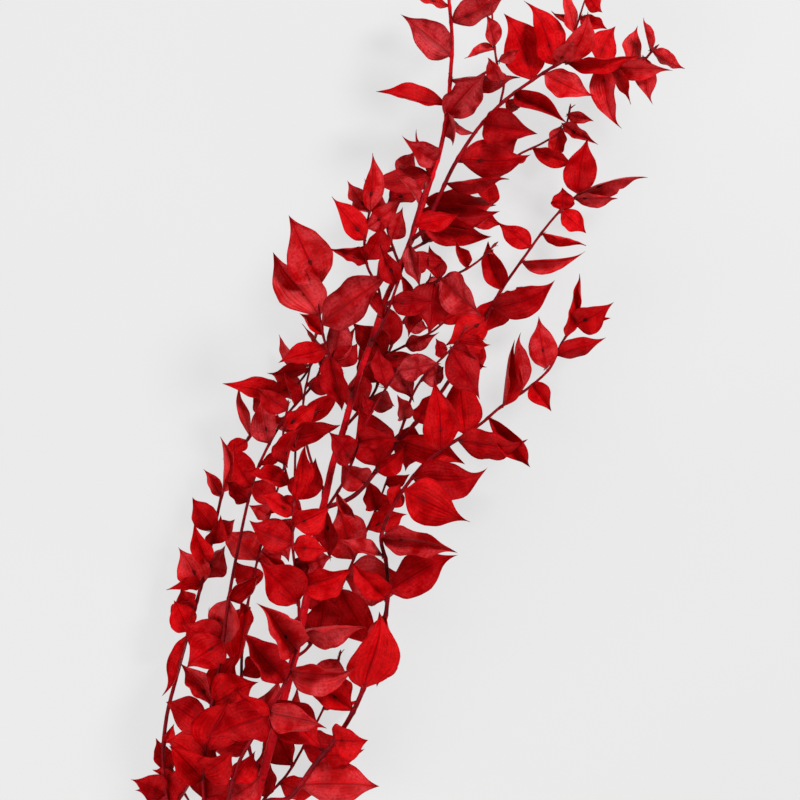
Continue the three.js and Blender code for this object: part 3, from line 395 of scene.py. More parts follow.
def leaf_frame(leaf):
    aim = np.array([
        math.cos(leaf["bearing"]) * math.cos(leaf["lift"]),
        math.sin(leaf["bearing"]) * math.cos(leaf["lift"]),
        math.sin(leaf["lift"]),
    ])
    face = turned(unit(UP - aim * aim[2]), aim, np.array(leaf["roll"]))
    return aim, face, np.cross(aim, face)


def arc_along(turn, u):
    if abs(turn) < 1e-6:
        return u
    return (np.sin(turn * (u - 0.5)) + math.sin(turn / 2)) / turn


def arc_aside(turn, u):
    if abs(turn) < 1e-6:
        return u * 0
    return (math.cos(turn / 2) - np.cos(turn * (u - 0.5))) / turn


def leaf_sections(leaf, u):
    """The blade's middle line at the shares u, with its across and over directions."""
    u = np.asarray(u, float)[:, None]
    aim, face, side = leaf_frame(leaf)
    bend, sway = leaf["bend"], leaf["sway"]
    stretch = 1 if abs(bend) < 1e-6 else bend / 2 / math.sin(bend / 2)
    reach = leaf["length"] * stretch
    centre = (leaf["base"] + aim * reach * arc_along(bend, u)
              + face * reach * arc_aside(bend, u)
              + side * leaf["length"] * arc_aside(sway, u))
    heading = unit(aim * np.cos(bend * (u - 0.5)) + face * np.sin(bend * (u - 0.5))
                   + side * np.sin(sway * (u - 0.5)))
    across = unit(side - heading * (heading @ side)[:, None])
    across = turned(across, heading, leaf["twist"] * (u[:, 0] - 0.3))
    return centre, across, np.cross(across, heading)


def leaf_rings(leaf):
    """Four rings of left edge, rib below, right edge and rib above, as the solids have them."""
    centre, across, over = leaf_sections(leaf, LEAF_STATIONS)
    out = (leaf["length"] * leaf["width"] / 2 * outline_at(LEAF_STATIONS))[:, None]
    raised = over * out * math.sin(leaf["fold"])
    beside = across * out * math.cos(leaf["fold"])
    half_rib = over * RIB_THICKNESS / 2
    rings = np.stack([centre - beside + raised, centre - half_rib,
                      centre + beside + raised, centre + half_rib], axis=1)
    for ring in rings:
        low, high = (1, 3) if ring[3, 2] >= ring[1, 2] else (3, 1)
        for k in (0, 2, low):
            ring[k, 2] = max(ring[k, 2], 0)
        ring[high, 2] = max(ring[high, 2], RIB_THICKNESS)
    return rings


def lowest_point(leaf):
    centre, across, over = leaf_sections(leaf, LEAF_STATIONS)
    out = leaf["length"] * leaf["width"] / 2 * outline_at(LEAF_STATIONS)
    drop = np.abs(across[:, 2]) * out * math.cos(leaf["fold"])
    edges = centre[:, 2] + over[:, 2] * out * math.sin(leaf["fold"]) - drop
    tip = leaf_sections(leaf, [TIP_CUT])[0][0, 2]
    return min(tip, edges.min())


def leaf_samples(leaf):
    """Points that stand for the leaf's surface, and how far along the leaf each one is."""
    foot = leaf_sections(leaf, [ROOT_SHARE])[0]
    tip = leaf_sections(leaf, [TIP_CUT])[0]
    tip[:, 2] = np.maximum(tip[:, 2], 0)
    rings = [np.repeat(foot, 4, axis=0), *leaf_rings(leaf), np.repeat(tip, 4, axis=0)]
    shares = [0.0, *LEAF_STATIONS, 1.0]
    points, places = [], []
    for i in range(1, len(rings)):
        a, b = rings[i - 1], rings[i]
        rib_a, rib_b = (a[1] + a[3]) / 2, (b[1] + b[3]) / 2
        rows = math.ceil(np.linalg.norm(rib_b - rib_a) / SAMPLE_GAP)
        for row in range(0 if i == 1 else 1, rows + 1):
            t = row / rows
            rib = rib_a + (rib_b - rib_a) * t
            line = [rib[None]]
            for k in (0, 2):
                edge = a[k] + (b[k] - a[k]) * t
                steps = max(1, math.ceil(np.linalg.norm(edge - rib) / SAMPLE_GAP))
                line.append(rib + (edge - rib) * (np.arange(1, steps + 1) / steps)[:, None])
            line = np.vstack(line)
            points.append(line)
            places.append(np.full(len(line), shares[i - 1] + (shares[i] - shares[i - 1]) * t))
    return np.vstack(points), np.concatenate(places)


# ---------- keeping the pieces apart, by the solids' rule ----------

SAMPLE_LIMIT = 400000
FREE_FOOT = 0.2  # the share of a leaf, from its foot, that may touch its own shoot's leaves
FREE_STALK = 0.4  # the share that may touch its own shoot's twigs

taken = {
    "points": np.zeros((SAMPLE_LIMIT, 3)),
    "node": np.zeros(SAMPLE_LIMIT, int),
    "twig": np.zeros(SAMPLE_LIMIT, bool),
    "count": 0,
}


def occupy(points, node, is_twig):
    start = taken["count"]
    stop = start + len(points)
    taken["points"][start:stop] = points
    taken["node"][start:stop] = node
    taken["twig"][start:stop] = is_twig
    taken["count"] = stop


def is_clear(points, places, node):
    others = taken["points"][:taken["count"]]
    low, high = points.min(axis=0) - CLEARANCE, points.max(axis=0) + CLEARANCE
    near = np.flatnonzero(((others > low) & (others < high)).all(axis=1))
    if not len(near):
        return True
    gaps = ((points[:, None, :] - others[near][None]) ** 2).sum(axis=2)
    own = (taken["node"][near] == node)[None]
    at_twig = taken["twig"][near][None] & (places < FREE_STALK)[:, None]
    allowed = own & ((places < FREE_FOOT)[:, None] | at_twig)
    return not ((gaps < CLEARANCE**2) & ~allowed).any()


def twig_samples(axis, radii):
    points = []
    count = math.ceil(axis["length"] / SAMPLE_GAP)
    for i in range(count + 1):
        point, direction = place_on_axis(axis, axis["length"] * i / count)
        radius = radii[0] + (radii[1] - radii[0]) * i / count
        across = unit(np.cross(direction, UP))
        over = np.cross(across, direction)
        angles = ring_angles(math.ceil(2 * math.pi * radius / SAMPLE_GAP))[:, None]
        points.append(point + radius * (across * np.cos(angles) + over * np.sin(angles)))
    return np.vstack(points)


# ---------- placing the leaves, by the solids' rule ----------

# Ways to turn a leaf clear of its neighbours, the smallest turns first.
TURNS = sorted(
    (
        (lift, roll, bearing, size)
        for lift in (0, 12, -12, 24, -24, 36, -36)
        for roll in (0, 25, -25, 50, -50)
        for bearing in (0, 10, -10, 20, -20)
        for size in (1, 0.85)
    ),
    key=lambda t: abs(t[0]) * 2 + abs(t[1]) + abs(t[2]) * 4 + (60 if t[3] < 1 else 0),
)


def rule_leaf(twig, index, distance):
    """A leaf in one of the twig's two rows."""
    around = spread_from(twig["seed"] * 1000 + index)
    point, direction = place_on_axis(twig["axis"], distance)
    rows = twig["rows"]
    side = 1 if index % 2 == 0 else -1
    opening = math.radians(rows["open"] + around(16))
    row_turn = math.radians(rows["turn"] + around(22))
    taper = 1 - 0.2 * distance / twig["axis"]["length"]
    leaf = {"base": point}
    leaf["bearing"] = math.atan2(direction[1], direction[0])
    leaf["bearing"] += side * opening * math.cos(row_turn)
    leaf["lift"] = math.asin(direction[2]) + side * opening * math.sin(row_turn)
    leaf["lift"] += math.radians(around(18))
    leaf["roll"] = math.radians(around(1) ** 3 * 80 + around(22))
    leaf["length"] = rows["size"] * taper * (1 + around(0.16))
    leaf["width"] = 0.47 + around(0.05)
    leaf["bend"] = math.radians(-12 + around(42))
    leaf["sway"] = math.radians(around(26))
    leaf["twist"] = math.radians(around(40))
    leaf["fold"] = math.radians(14 + around(20))
    return leaf


def posed_leaf(twig, index, pose):
    """A leaf whose tip is given."""
    around = spread_from(twig["seed"] * 1000 + 500 + index)
    distance, x, y, z, roll, width = pose
    last = twig["axis"]["length"] - LAST_LEAF_INSET
    point, _ = place_on_axis(twig["axis"], min(distance, last))
    reach = np.array([x, y, z]) - point
    length = float(np.linalg.norm(reach))
    return {
        "base": point,
        "bearing": math.atan2(reach[1], reach[0]),
        "lift": math.asin(reach[2] / length),
        "roll": math.radians(roll),
        "length": length,
        "width": width,
        "bend": math.radians(-6 + around(26)),
        "sway": math.radians(around(20)),
        "twist": math.radians(around(26)),
        "fold": math.radians(12 + around(14)),
    }


def settle(leaf, node):
    """The first way to set the leaf clear of everything placed before it, or nothing."""
    for lift, roll, bearing, size in TURNS:
        tried = dict(leaf)
        tried["lift"] += math.radians(lift)
        tried["roll"] += math.radians(roll)
        tried["bearing"] += math.radians(bearing)
        tried["length"] *= size
        if lowest_point(tried) < -PRESS_DEPTH:
            continue
        points, places = leaf_samples(tried)
        if is_clear(points, places, node):
            occupy(points, node, False)
            return tried
    return None


def plan_leaves(twig):
    """The twig's posed leaves, and its ruled ones less the nearest to each posed one."""
    places = []
    at = twig["rows"]["first"]
    while at < twig["axis"]["length"]:
        places.append(at)
        at += twig["rows"]["gap"]
    kept = list(range(len(places)))
    for pose in twig["posed"]:
        if kept:
            kept.remove(min(kept, key=lambda i: abs(places[i] - pose[0])))
    twig["plans"] = {
        "posed": [posed_leaf(twig, i, pose) for i, pose in enumerate(twig["posed"])],
        "ruled": [rule_leaf(twig, i, places[i]) for i in kept],
    }


def twigs_of(plan, parent_axis=None):
    root = [] if parent_axis is None else [place_on_axis(parent_axis, plan["from"])[0]]
    axis = axis_through([*root, *plan["path"]])
    twigs = [{**plan, "axis": axis, "leaves": []}]
    for fork in plan["forks"]:
        twigs += twigs_of(fork, axis)
    return twigs


def grow_spray():
    """Every node's name and its twigs, each with its settled leaves."""
    main = twigs_of(MAIN_STEM)
    nodes = [("main_stem", main)]
    for number, shoot in enumerate(SIDE_SHOOTS, 1):
        nodes.append((f"leafy_shoot_{number:02}", twigs_of(shoot, main[0]["axis"])))
    twigs = [(number, twig) for number, (_, own) in enumerate(nodes) for twig in own]
    for number, twig in twigs:
        occupy(twig_samples(twig["axis"], twig["radius"]), number, True)
        plan_leaves(twig)
    for kind in ("posed", "ruled"):
        for number, twig in twigs:
            for plan in twig["plans"][kind]:
                leaf = settle(plan, number)
                if leaf:
                    twig["leaves"].append(leaf)
    return nodes


# ---------- meshes ----------


class Gathered:
    """The parts of one piece, in sketch millimetres.

    Each part has one material slot and, per point, its marks: how far across and along the
    leaf or twig it lies, and the leaf's tone, which holds its own dye and painted shade for
    leaves in the spray's crowded middle.
    """

    def __init__(self):
        self.points, self.faces, self.slots, self.marks = [], [], [], []
        self.count = 0

    def add(self, points, faces, slot, marks=(0.0, 0.0, 0.5)):
        self.points.append(np.asarray(points, float))
        self.faces += [tuple(k + self.count for k in face) for face in faces]
        self.slots += [slot] * len(faces)
        self.marks.append(np.broadcast_to(np.asarray(marks, float), (len(points), 3)))
        self.count += len(points)


def loft_faces(rings, sides):
    """Faces of rings of points in order, closed at both ends to a single point each."""
    faces = []
    first, last = 0, 1 + rings * sides
    for k in range(sides):
        after = (k + 1) % sides
        faces.append((first, 1 + k, 1 + after))
        end = 1 + (rings - 1) * sides
        faces.append((last, end + after, end + k))
    for i in range(1, rings):
        low, high = 1 + (i - 1) * sides, 1 + i * sides
        for k in range(sides):
            after = (k + 1) % sides
            faces.append((low + k, high + k, high + after, low + after))
    return faces


def loft_marks(across, along, tone):
    """Marks of a loft whose rings lie at the shares along it."""
    marks = np.zeros((len(along) * len(across) + 2, 3))
    marks[1:-1, 0] = np.tile(across, len(along))
    marks[1:-1, 1] = np.repeat(along, len(across))
    marks[:, 2] = tone
    return marks


def in_frame(points):
    """Sketch millimetres to metres in the part's frame."""
    lean = math.radians(LEAN_OF_SPRAY)
    cos, sin = math.cos(lean), math.sin(lean)
    x = points[:, 0] * cos - points[:, 1] * sin + SKETCH_SHIFT[0]
    y = points[:, 0] * sin + points[:, 1] * cos + SKETCH_SHIFT[1]
    return np.stack([x, y, points[:, 2]], axis=1) * MM


def place_in_part(point):
    """A sketch point's x and y in the part's frame, in millimetres."""
    x, y, _ = in_frame(np.array([point]))[0] / MM
    return x, y


def piece_from(name, gathered, materials, sharp_angle):
    mesh = bpy.data.meshes.new(name)
    mesh.from_pydata(in_frame(np.vstack(gathered.points)).tolist(), [], gathered.faces)
    mesh.polygons.foreach_set("material_index", gathered.slots)
    mesh.polygons.foreach_set("use_smooth", [True] * len(mesh.polygons))
    marks = np.vstack(gathered.marks)
    for column, label in enumerate(("blade_v", "blade_u", "tone")):
        attribute = mesh.attributes.new(label, "FLOAT", "POINT")
        attribute.data.foreach_set("value", marks[:, column].astype(np.float32))
    mesh.set_sharp_from_angle(angle=math.radians(sharp_angle))
    for material in materials:
        mesh.materials.append(material)
    mesh.update()
    piece = bpy.data.objects.new(name, mesh)
    bpy.context.scene.collection.objects.link(piece)
    return piece


# ---------- fine leaves ----------

BLADE_THICKNESS = 0.4
EDGE_THICKNESS = 0.14
STALK_THICKNESS = 0.9
STALK_SHARE = 0.09  # of the leaf's length
MIDRIB_HEIGHT = 0.28
RIB_SHARE = 0.1  # of half the blade's width: the fold and the rib under it
TEAR_SHARE = 0.035  # half a tear's length, as a share of the leaf's
TIP_POINT_HEIGHT = 0.1  # the least height of a blade's last point above the floor
SLIM, BROAD = 1.22, 1.55  # a curled blade is wider along its skin than it looks
BROAD_Y, SLIM_Y = -140, 60  # leaves turn from broad to slim between these places, along
BROAD_X, SLIM_X = 10, 60  # the part and across it
BLADE_ROWS = 26
HALF_COLUMNS = 8
FINE_STEPS = 4  # steps of a column's curve for each column kept
PLEATS = 4  # raised veins on each side of the rib
HEART, HEART_REACH = (18.0, 96.0), 62.0  # where the shoots crowd together, in the part's frame
INSIDE_REACH = 46.0  # how far from the main stem a leaf still counts as inside the spray


def smooth_outline(u, foot, tip):
    """Half of a leaf's width along it, as a share of the widest: low powers make blunt ends."""
    widest = foot / (foot + tip)
    shape = (u / widest) ** foot * ((1 - u) / (1 - widest)) ** tip
    drawn = 1 - 0.4 * smooth_step(0.62, 0.9, u) - 0.3 * (1 - smooth_step(0.0, 0.14, u))
    return 1.03 * shape * drawn


def fullness_at(place):
    """Leaves low on the spray and inside it are broader than those at its tip and outer side."""
    x, y = place_in_part(place)
    low = 1 - smooth_step(BROAD_Y, SLIM_Y, y)
    inner = 1 - smooth_step(BROAD_X, SLIM_X, x)
    return SLIM + (BROAD - SLIM) * low * inner


def habit_of(seed):
    """What makes one leaf unlike the next: how it cups, curls, ripples and tears.

    Nearly a quarter of the edges curl, and one leaf in eleven is torn.
    """
    around = spread_from(seed)
    habit = {
        "cup": 0.2 + around(0.72),
        "wave": 0.045 + abs(around(0.085)),
        "waves": 2.2 + around(0.9),
        "phase": around(math.pi),
        "lean": around(0.07),
        "tip_curl": around(0.16),
        "bow": around(0.045),
        "wrinkle": 0.08 + abs(around(0.16)),
        "pleat": 0.08 + abs(around(0.12)),
        "crease": 0.16 + around(0.4),
        "tone": 0.58 + around(0.37),
        "twist": around(0.5),
        "hook": around(0.2),
        "foot": 0.85 + around(0.13),
        "tip": 1.34 + around(0.2),
    }
    habit["curl"] = [max(0.0, around(1.0) - 0.55) * 3.4 for _ in range(2)]
    tear_depth = max(0.0, around(1.0) - 0.82) * 2.6
    habit["tear"] = (0.45 + around(0.22), tear_depth, 1 if around(1) > 0 else -1)
    habit["scar"] = around(1.0) > 0.4
    habit["wax"] = around(1.0)
    habit["tuft"] = around(1.0) > 0.72
    habit["scar_at"] = 0.3 + around(0.05)
    return habit


def suit_to_place(habit, leaf, stem):
    """Leaves close to the main stem and in the spray's heart get a darker tone, painted shade for
    the crowded middle, and the waxy leaves, glossier and with a pink painted highlight, stand
    mostly toward the spray's tip and outer side, where the light falls."""
    gap = np.linalg.norm(stem["axis"]["knots"] - leaf["base"], axis=1).min()
    inside = math.exp(-((gap / INSIDE_REACH) ** 2))
    x, y = place_in_part(leaf["base"])
    heart = math.exp(-((math.hypot(x - HEART[0], y - HEART[1]) / HEART_REACH) ** 2))
    upward = smooth_step(-20, 290, y)
    # Painted shade: leaves near the main stem and in the heart are darkened, the others lightened.
    habit["tone"] = float(np.clip(habit["tone"] + 0.22 - 0.52 * inside - 0.46 * heart, 0, 1))
    # Painted highlight: the waxy leaves, with their pink painted highlight, go mostly toward the lit
    # tip and outer side.
    habit["waxy"] = habit["wax"] > 0.3 + 0.6 * inside + 0.3 * heart - 0.85 * upward


def blade_half(u, side, leaf, habit):
    """How far each column of one half lies beside and above the rib, and which way it faces."""
    phase = habit["phase"]
    warp = u + habit["lean"] * np.sin(np.pi * u) * side
    widest = fullness_at(leaf["base"]) * leaf["length"] * leaf["width"] / 2
    out = widest * smooth_outline(np.clip(warp, 0, 1), habit["foot"], habit["tip"])
    out = out * (1 + 0.022 * np.sin(13 * u + 5 * phase + 2 * side)
                 + 0.008 * np.sin(37 * u - 3 * phase + side))
    at, depth, torn_side = habit["tear"]
    if side == torn_side:
        out = out * (1 - depth * np.exp(-(((u - at) / TEAR_SHARE) ** 2)))
    edges = np.linspace(0, 1, HALF_COLUMNS * FINE_STEPS + 1)
    middle = (edges[1:] + edges[:-1]) / 2
    curl = habit["curl"][0 if side < 0 else 1] * smooth_step(0.15, 0.6, u)
    fold = leaf["fold"] + habit["crease"]
    turn = (fold * np.tanh(middle / RIB_SHARE)[None] + habit["cup"] * middle[None]
            + curl[:, None] * smooth_step(0.45, 1.0, middle)[None])
    ripple = habit["wave"] * np.sin(2 * np.pi * habit["waves"] * u + phase * (1 + 0.7 * side))
    turn = turn + (ripple * 3.0)[:, None] * (middle**2)[None] * smooth_step(0.05, 0.2, u)[:, None]
    step = out[:, None] / len(middle)
    start = np.zeros((len(u), 1))
    beside = np.concatenate([start, np.cumsum(np.cos(turn) * step, 1)], 1)
    above = np.concatenate([start, np.cumsum(np.sin(turn) * step, 1)], 1)
    facing = np.concatenate([turn[:, :1], turn], axis=1)
    return beside[:, ::FINE_STEPS], above[:, ::FINE_STEPS], facing[:, ::FINE_STEPS]


def blade_line(leaf, habit, u):
    """The fine blade's middle line: the solid's, with a curled tip, a bow, a hook and a twist."""
    centre, across, over = leaf_sections(leaf, u)
    curled = leaf["length"] * habit["tip_curl"]
    centre = centre + over * (curled * np.maximum(0, u - 0.6)[:, None] ** 2 * 5)
    inside = np.clip(u, 0, 1)
    bowed = habit["bow"] * inside**2 * (1 - inside) * 6.75
    bowed = bowed + habit["hook"] * np.maximum(0, inside - 0.72) ** 2 * 3
    centre = centre + across * (leaf["length"] * bowed)[:, None]
    twisted = (habit["twist"] * (inside - 0.15))[:, None]
    return (centre, across * np.cos(twisted) + over * np.sin(twisted),
            over * np.cos(twisted) - across * np.sin(twisted))


def blade_mesh(leaf, habit):
    """Points, faces and marks of one thin closed blade, and a spot on it for its scar."""
    spread = np.linspace(0, 1, BLADE_ROWS)
    closer_at_ends = (1 - np.cos(np.pi * spread)) / 2
    u = np.minimum(-0.015 + (0.45 * spread + 0.55 * closer_at_ends), TIP_CUT)
    inside = np.clip(u, 0, 1)
    centre, across, over = blade_line(leaf, habit, u)
    left = blade_half(u, -1, leaf, habit)
    right = blade_half(u, 1, leaf, habit)
    beside = np.hstack([-left[0][:, :0:-1], right[0]])
    above = np.hstack([left[1][:, :0:-1], right[1]])
    facing = np.hstack([-left[2][:, :0:-1], right[2]])
    facing[:, HALF_COLUMNS] = 0
    v = np.linspace(-1, 1, 2 * HALF_COLUMNS + 1)
    dried = habit["wrinkle"] * (
        np.sin(u[:, None] * 23 + v[None] * 3 + habit["phase"])
        * np.sin(u[:, None] * 9 - v[None] * 5 + 2 * habit["phase"])
    ) * smooth_step(0.08, 0.3, u)[:, None]
    veins = habit["pleat"] * np.cos(2 * np.pi * PLEATS * v) * (1 - v**2)
    above = above + dried + veins[None] * np.sin(np.pi * inside)[:, None] ** 0.5
    middle = (centre[:, None] + across[:, None] * beside[..., None]
              + over[:, None] * above[..., None])
    normal = (over[:, None] * np.cos(facing)[..., None]
              - across[:, None] * np.sin(facing)[..., None])
    thick = EDGE_THICKNESS + (BLADE_THICKNESS - EDGE_THICKNESS) * (1 - np.abs(v)) ** 0.7
    stalk = 1 - smooth_step(0.0, STALK_SHARE, u)
    thick = thick[None] * (1 - stalk[:, None]) + STALK_THICKNESS * stalk[:, None]
    thick = thick * (1 - 0.5 * smooth_step(0.85, 1.0, u))[:, None]
    rib = MIDRIB_HEIGHT * np.exp(-((v / RIB_SHARE) ** 2))[None] * (1 - 0.8 * u)[:, None]
    upper = middle + normal * (thick / 2)[..., None]
    lower = middle - normal * (thick / 2 + rib)[..., None]
    sink = -np.minimum(0, np.minimum(upper[..., 2], lower[..., 2]))
    upper[..., 2] += sink
    lower[..., 2] += sink
    rings = np.concatenate([upper, lower[:, ::-1]], axis=1)
    foot = leaf_sections(leaf, [-0.03])[0]
    tip = centre[-1:] + (centre[-1:] - centre[-2:-1]) * 0.9
    tip[:, 2] = np.maximum(tip[:, 2], TIP_POINT_HEIGHT)
    points = np.vstack([foot, rings.reshape(-1, 3), tip])
    marks = loft_marks(np.concatenate([v, v[::-1]]), u, habit["tone"])
    marks[-1, 1] = 1
    row = int(np.argmin(np.abs(u - habit["scar_at"])))
    spot = (upper[row, HALF_COLUMNS], over[row], unit(centre[row + 1] - centre[row - 1]))
    return points, loft_faces(len(u), rings.shape[1]), marks, spot


# ---------- twigs, scales and scars ----------


def tube_points(points, radii, sides, shape):
    """Rings round a smooth line: shape(angle, share along) scales the radius."""
    ahead = unit(np.gradient(points, axis=0))
    across = unit(np.cross(ahead, UP))
    over = np.cross(across, ahead)
    angles = ring_angles(sides)
    shares = np.linspace(0, 1, len(points))
    size = radii[:, None] * shape(angles[None], shares[:, None])
    rings = (points[:, None]
             + across[:, None] * (size * np.cos(angles))[..., None]
             + over[:, None] * (size * np.sin(angles))[..., None])
    start, end = points[0] - ahead[0] * 0.05, points[-1] + ahead[-1] * radii[-1] * 0.8
    return np.vstack([start[None], rings.reshape(-1, 3), end[None]])


def add_twig(gathered, twig, slot, sides, step, seed):
    """A ridged, slightly crooked tube with a small joint where each leaf springs."""
    around = spread_from(seed)
    length = twig["axis"]["length"]
    line = spaced_points(twig["axis"]["points"], max(6, int(length / step)))
    start, end = twig["radius"]
    shares = np.linspace(0, 1, len(line))
    radii = (start + (end - start) * shares) * 0.94
    for leaf in twig["leaves"]:
        joint = shares[np.linalg.norm(line - leaf["base"], axis=1).argmin()]
        radii = radii * (1 + 0.2 * np.exp(-(((shares - joint) * length / 1.6) ** 2)))
    turn = around(4.0)
    ridges = 3 if sides < 12 else 5

    def shape(angle, share):
        wobble = 0.03 * np.sin(share * length * 0.9 + turn) * np.cos(angle)
        return 1 + 0.055 * np.cos(ridges * angle + share * length * 0.02 + turn) + wobble

    points = tube_points(line, radii, sides, shape)
    marks = loft_marks(np.ones(sides), shares, 0.5 + around(0.4))
    gathered.add(points, loft_faces(len(line), sides), slot, marks)


def scale_mesh(base, ahead, outward, length, width, tone):
    """A small boat-shaped papery scale that stands off a twig, thin and closed."""
    rows, columns = 6, 5
    u = np.linspace(0.02, 0.94, rows)
    v = np.linspace(-1, 1, columns)
    beside = unit(np.cross(ahead, outward))
    half = width / 2 * (np.sin(np.pi * (0.25 + 0.72 * u)))
    lift = length * (0.04 + 0.22 * u**1.6)
    middle = (base + ahead * (length * u)[:, None, None]
              + outward * (lift[:, None] - 0.35 * half[:, None] * v**2)[..., None]
              + beside * (half[:, None] * v)[..., None])
    thick = outward * 0.09
    rings = np.concatenate([middle + thick, middle[:, ::-1] - thick], axis=1)
    foot = base - ahead * 0.3 - outward * 0.3
    tip = base + ahead * length + outward * lift[-1] * 1.12
    points = np.vstack([foot, rings.reshape(-1, 3), tip])
    marks = loft_marks(np.concatenate([v, v[::-1]]), u, tone)
    return points, loft_faces(rows, 2 * columns), marks


def tuft_scales(base, ahead, outward, seed):
    """A tuft of narrow dry scales, the remains of a flower stalk where a leaf springs."""
    around = spread_from(seed)
    beside = unit(np.cross(ahead, outward))
    for _ in range(5):
        aim = unit(outward * (0.9 + around(0.3)) + ahead * around(0.9) + beside * around(0.9))
        across = unit(np.cross(np.cross(aim, ahead), aim))
        length = 4.2 + around(1.8)
        yield scale_mesh(base, aim, across, length, 0.9 + around(0.3), 0.5 + around(0.5))


def bud_scales(twig, seed):
    """The closed bud of narrow scales that ends a twig."""
    around = spread_from(seed)
    place, ahead = place_on_axis(twig["axis"], twig["axis"]["length"])
    beside = unit(np.cross(ahead, UP))
    size = 4.0 + 1.5 * twig["radius"][1]
    for k in range(3):
        angle = 2.1 * k + around(0.6)
        outward = beside * math.cos(angle) + np.cross(beside, ahead) * math.sin(angle)
        yield scale_mesh(place - ahead * 1.2, unit(ahead + outward * 0.18), outward,
                         size + around(1.2), 1.5 + 0.5 * twig["radius"][1], 0.5 + around(0.4))


def scar_mesh(spot, seed):
    """The small dark remains of a flower on a leaf's face: a low knob with ragged scales."""
    around = spread_from(seed)
    place, out, ahead = spot
    beside = np.cross(ahead, out)
    size = 0.78 + abs(around(0.5))
    angles = ring_angles(10)
    points = [place - out * 0.25]
    for reach, height in ((1.0, 0.02), (0.85, 0.3), (0.5, 0.52), (0.2, 0.5)):
        ragged = 1 + 0.22 * np.sin(angles * 3 + around(3)) + 0.12 * np.sin(angles * 5)
        points += list(place + out * height * size * 0.8
                       + beside * (np.cos(angles) * reach * size * ragged)[:, None]
                       + ahead * (np.sin(angles) * reach * size * 1.6 * ragged)[:, None])
    points.append(place + out * 0.33 * size)
    return np.array(points), loft_faces(4, len(angles))


def prickle_mesh(base, out, ahead, size):
    beside = np.cross(ahead, out)
    angles = ring_angles(6)
    ring = (base - out * 0.15 + beside * (np.cos(angles) * size * 0.55)[:, None]
            + ahead * (np.sin(angles) * size)[:, None])
    points = np.vstack([base - out * 0.4, ring, base + out * size * 0.7 + ahead * size * 0.5])
    return points, loft_faces(1, len(angles))


# ---------- materials ----------


class Look:
    """One material and its node tree, built one node at a time."""

    def __init__(self, name, view_colour):
        self.material = bpy.data.materials.new(name)
        self.material.use_nodes = True
        self.material.diffuse_color = (*view_colour, 1)
        self.tree = self.material.node_tree
        self.tree.nodes.clear()

    def node(self, kind, inputs=None, **settings):
        """A node with its settings, and its sockets set to a value or linked to a socket."""
        node = self.tree.nodes.new(kind)
        for key, value in settings.items():
            setattr(node, key, value)
        for key, value in (inputs or {}).items():
            socket = node.inputs[key]
            if isinstance(value, bpy.types.NodeSocket):
                self.tree.links.new(value, socket)
            elif isinstance(value, tuple) and len(value) == 3 and socket.type == "RGBA":
                socket.default_value = (*value, 1)
            else:
                socket.default_value = value
        return node

    def math(self, operation, a, b=0.0, c=0.0, clamp=False):
        inputs = {0: a, 1: b, 2: c}
        return self.node("ShaderNodeMath", inputs, operation=operation, use_clamp=clamp).outputs[0]

    def times(self, a, b, clamp=False):
        return self.math("MULTIPLY", a, b, clamp=clamp)

    def scaled(self, value, by, plus, clamp=False):
        return self.math("MULTIPLY_ADD", value, by, plus, clamp)

    def mark(self, label):
        return self.node("ShaderNodeAttribute", attribute_name=label).outputs["Fac"]

    def place(self):
        return self.node("ShaderNodeTexCoord").outputs["Object"]

    def vector(self, x, y, z):
        return self.node("ShaderNodeCombineXYZ", {"X": x, "Y": y, "Z": z}).outputs[0]

    def noise(self, vector, scale, detail=3.0, rough=0.6):
        inputs = {"Vector": vector, "Scale": scale, "Detail": detail, "Roughness": rough}
        return self.node("ShaderNodeTexNoise", inputs).outputs["Fac"]

    def ramp(self, factor, stops):
        """A colour for each factor; a stop's colour may be one number for a grey."""
        node = self.node("ShaderNodeValToRGB", {"Fac": factor})
        elements = node.color_ramp.elements
        while len(elements) < len(stops):
            elements.new(0.5)
        for element, (at, colour) in zip(elements, stops):
            element.position = at
            element.color = (*colour, 1) if isinstance(colour, tuple) else (colour,) * 3 + (1,)
        return node.outputs["Color"]

    def mix(self, share, a, b, kind="MIX"):
        inputs = {0: share, 6: a, 7: b}
        return self.node("ShaderNodeMix", inputs, data_type="RGBA", blend_type=kind).outputs[2]

    def shade(self, colour, share, factor, stops):
        """The colour multiplied by a ramp, as far as the share says."""
        return self.mix(share, colour, self.ramp(factor, stops), "MULTIPLY")

    def tint(self, colour, mask, share, target):
        """The colour turned toward the target where the mask is, by the share at most."""
        return self.mix(self.times(mask, share), colour, target)

    def bump(self, strength, depth, height):
        inputs = {"Strength": strength, "Distance": depth, "Height": height}
        return self.node("ShaderNodeBump", inputs).outputs[0]

    def principled(self, colour, rough, bump, **others):
        inputs = {"Base Color": colour, "Roughness": rough, "Normal": bump}
        inputs.update({key.replace("_", " "): value for key, value in others.items()})
        return self.node("ShaderNodeBsdfPrincipled", inputs).outputs[0]

    def finish(self, shader):
        self.tree.links.new(shader, self.node("ShaderNodeOutputMaterial").inputs["Surface"])
        return self.material


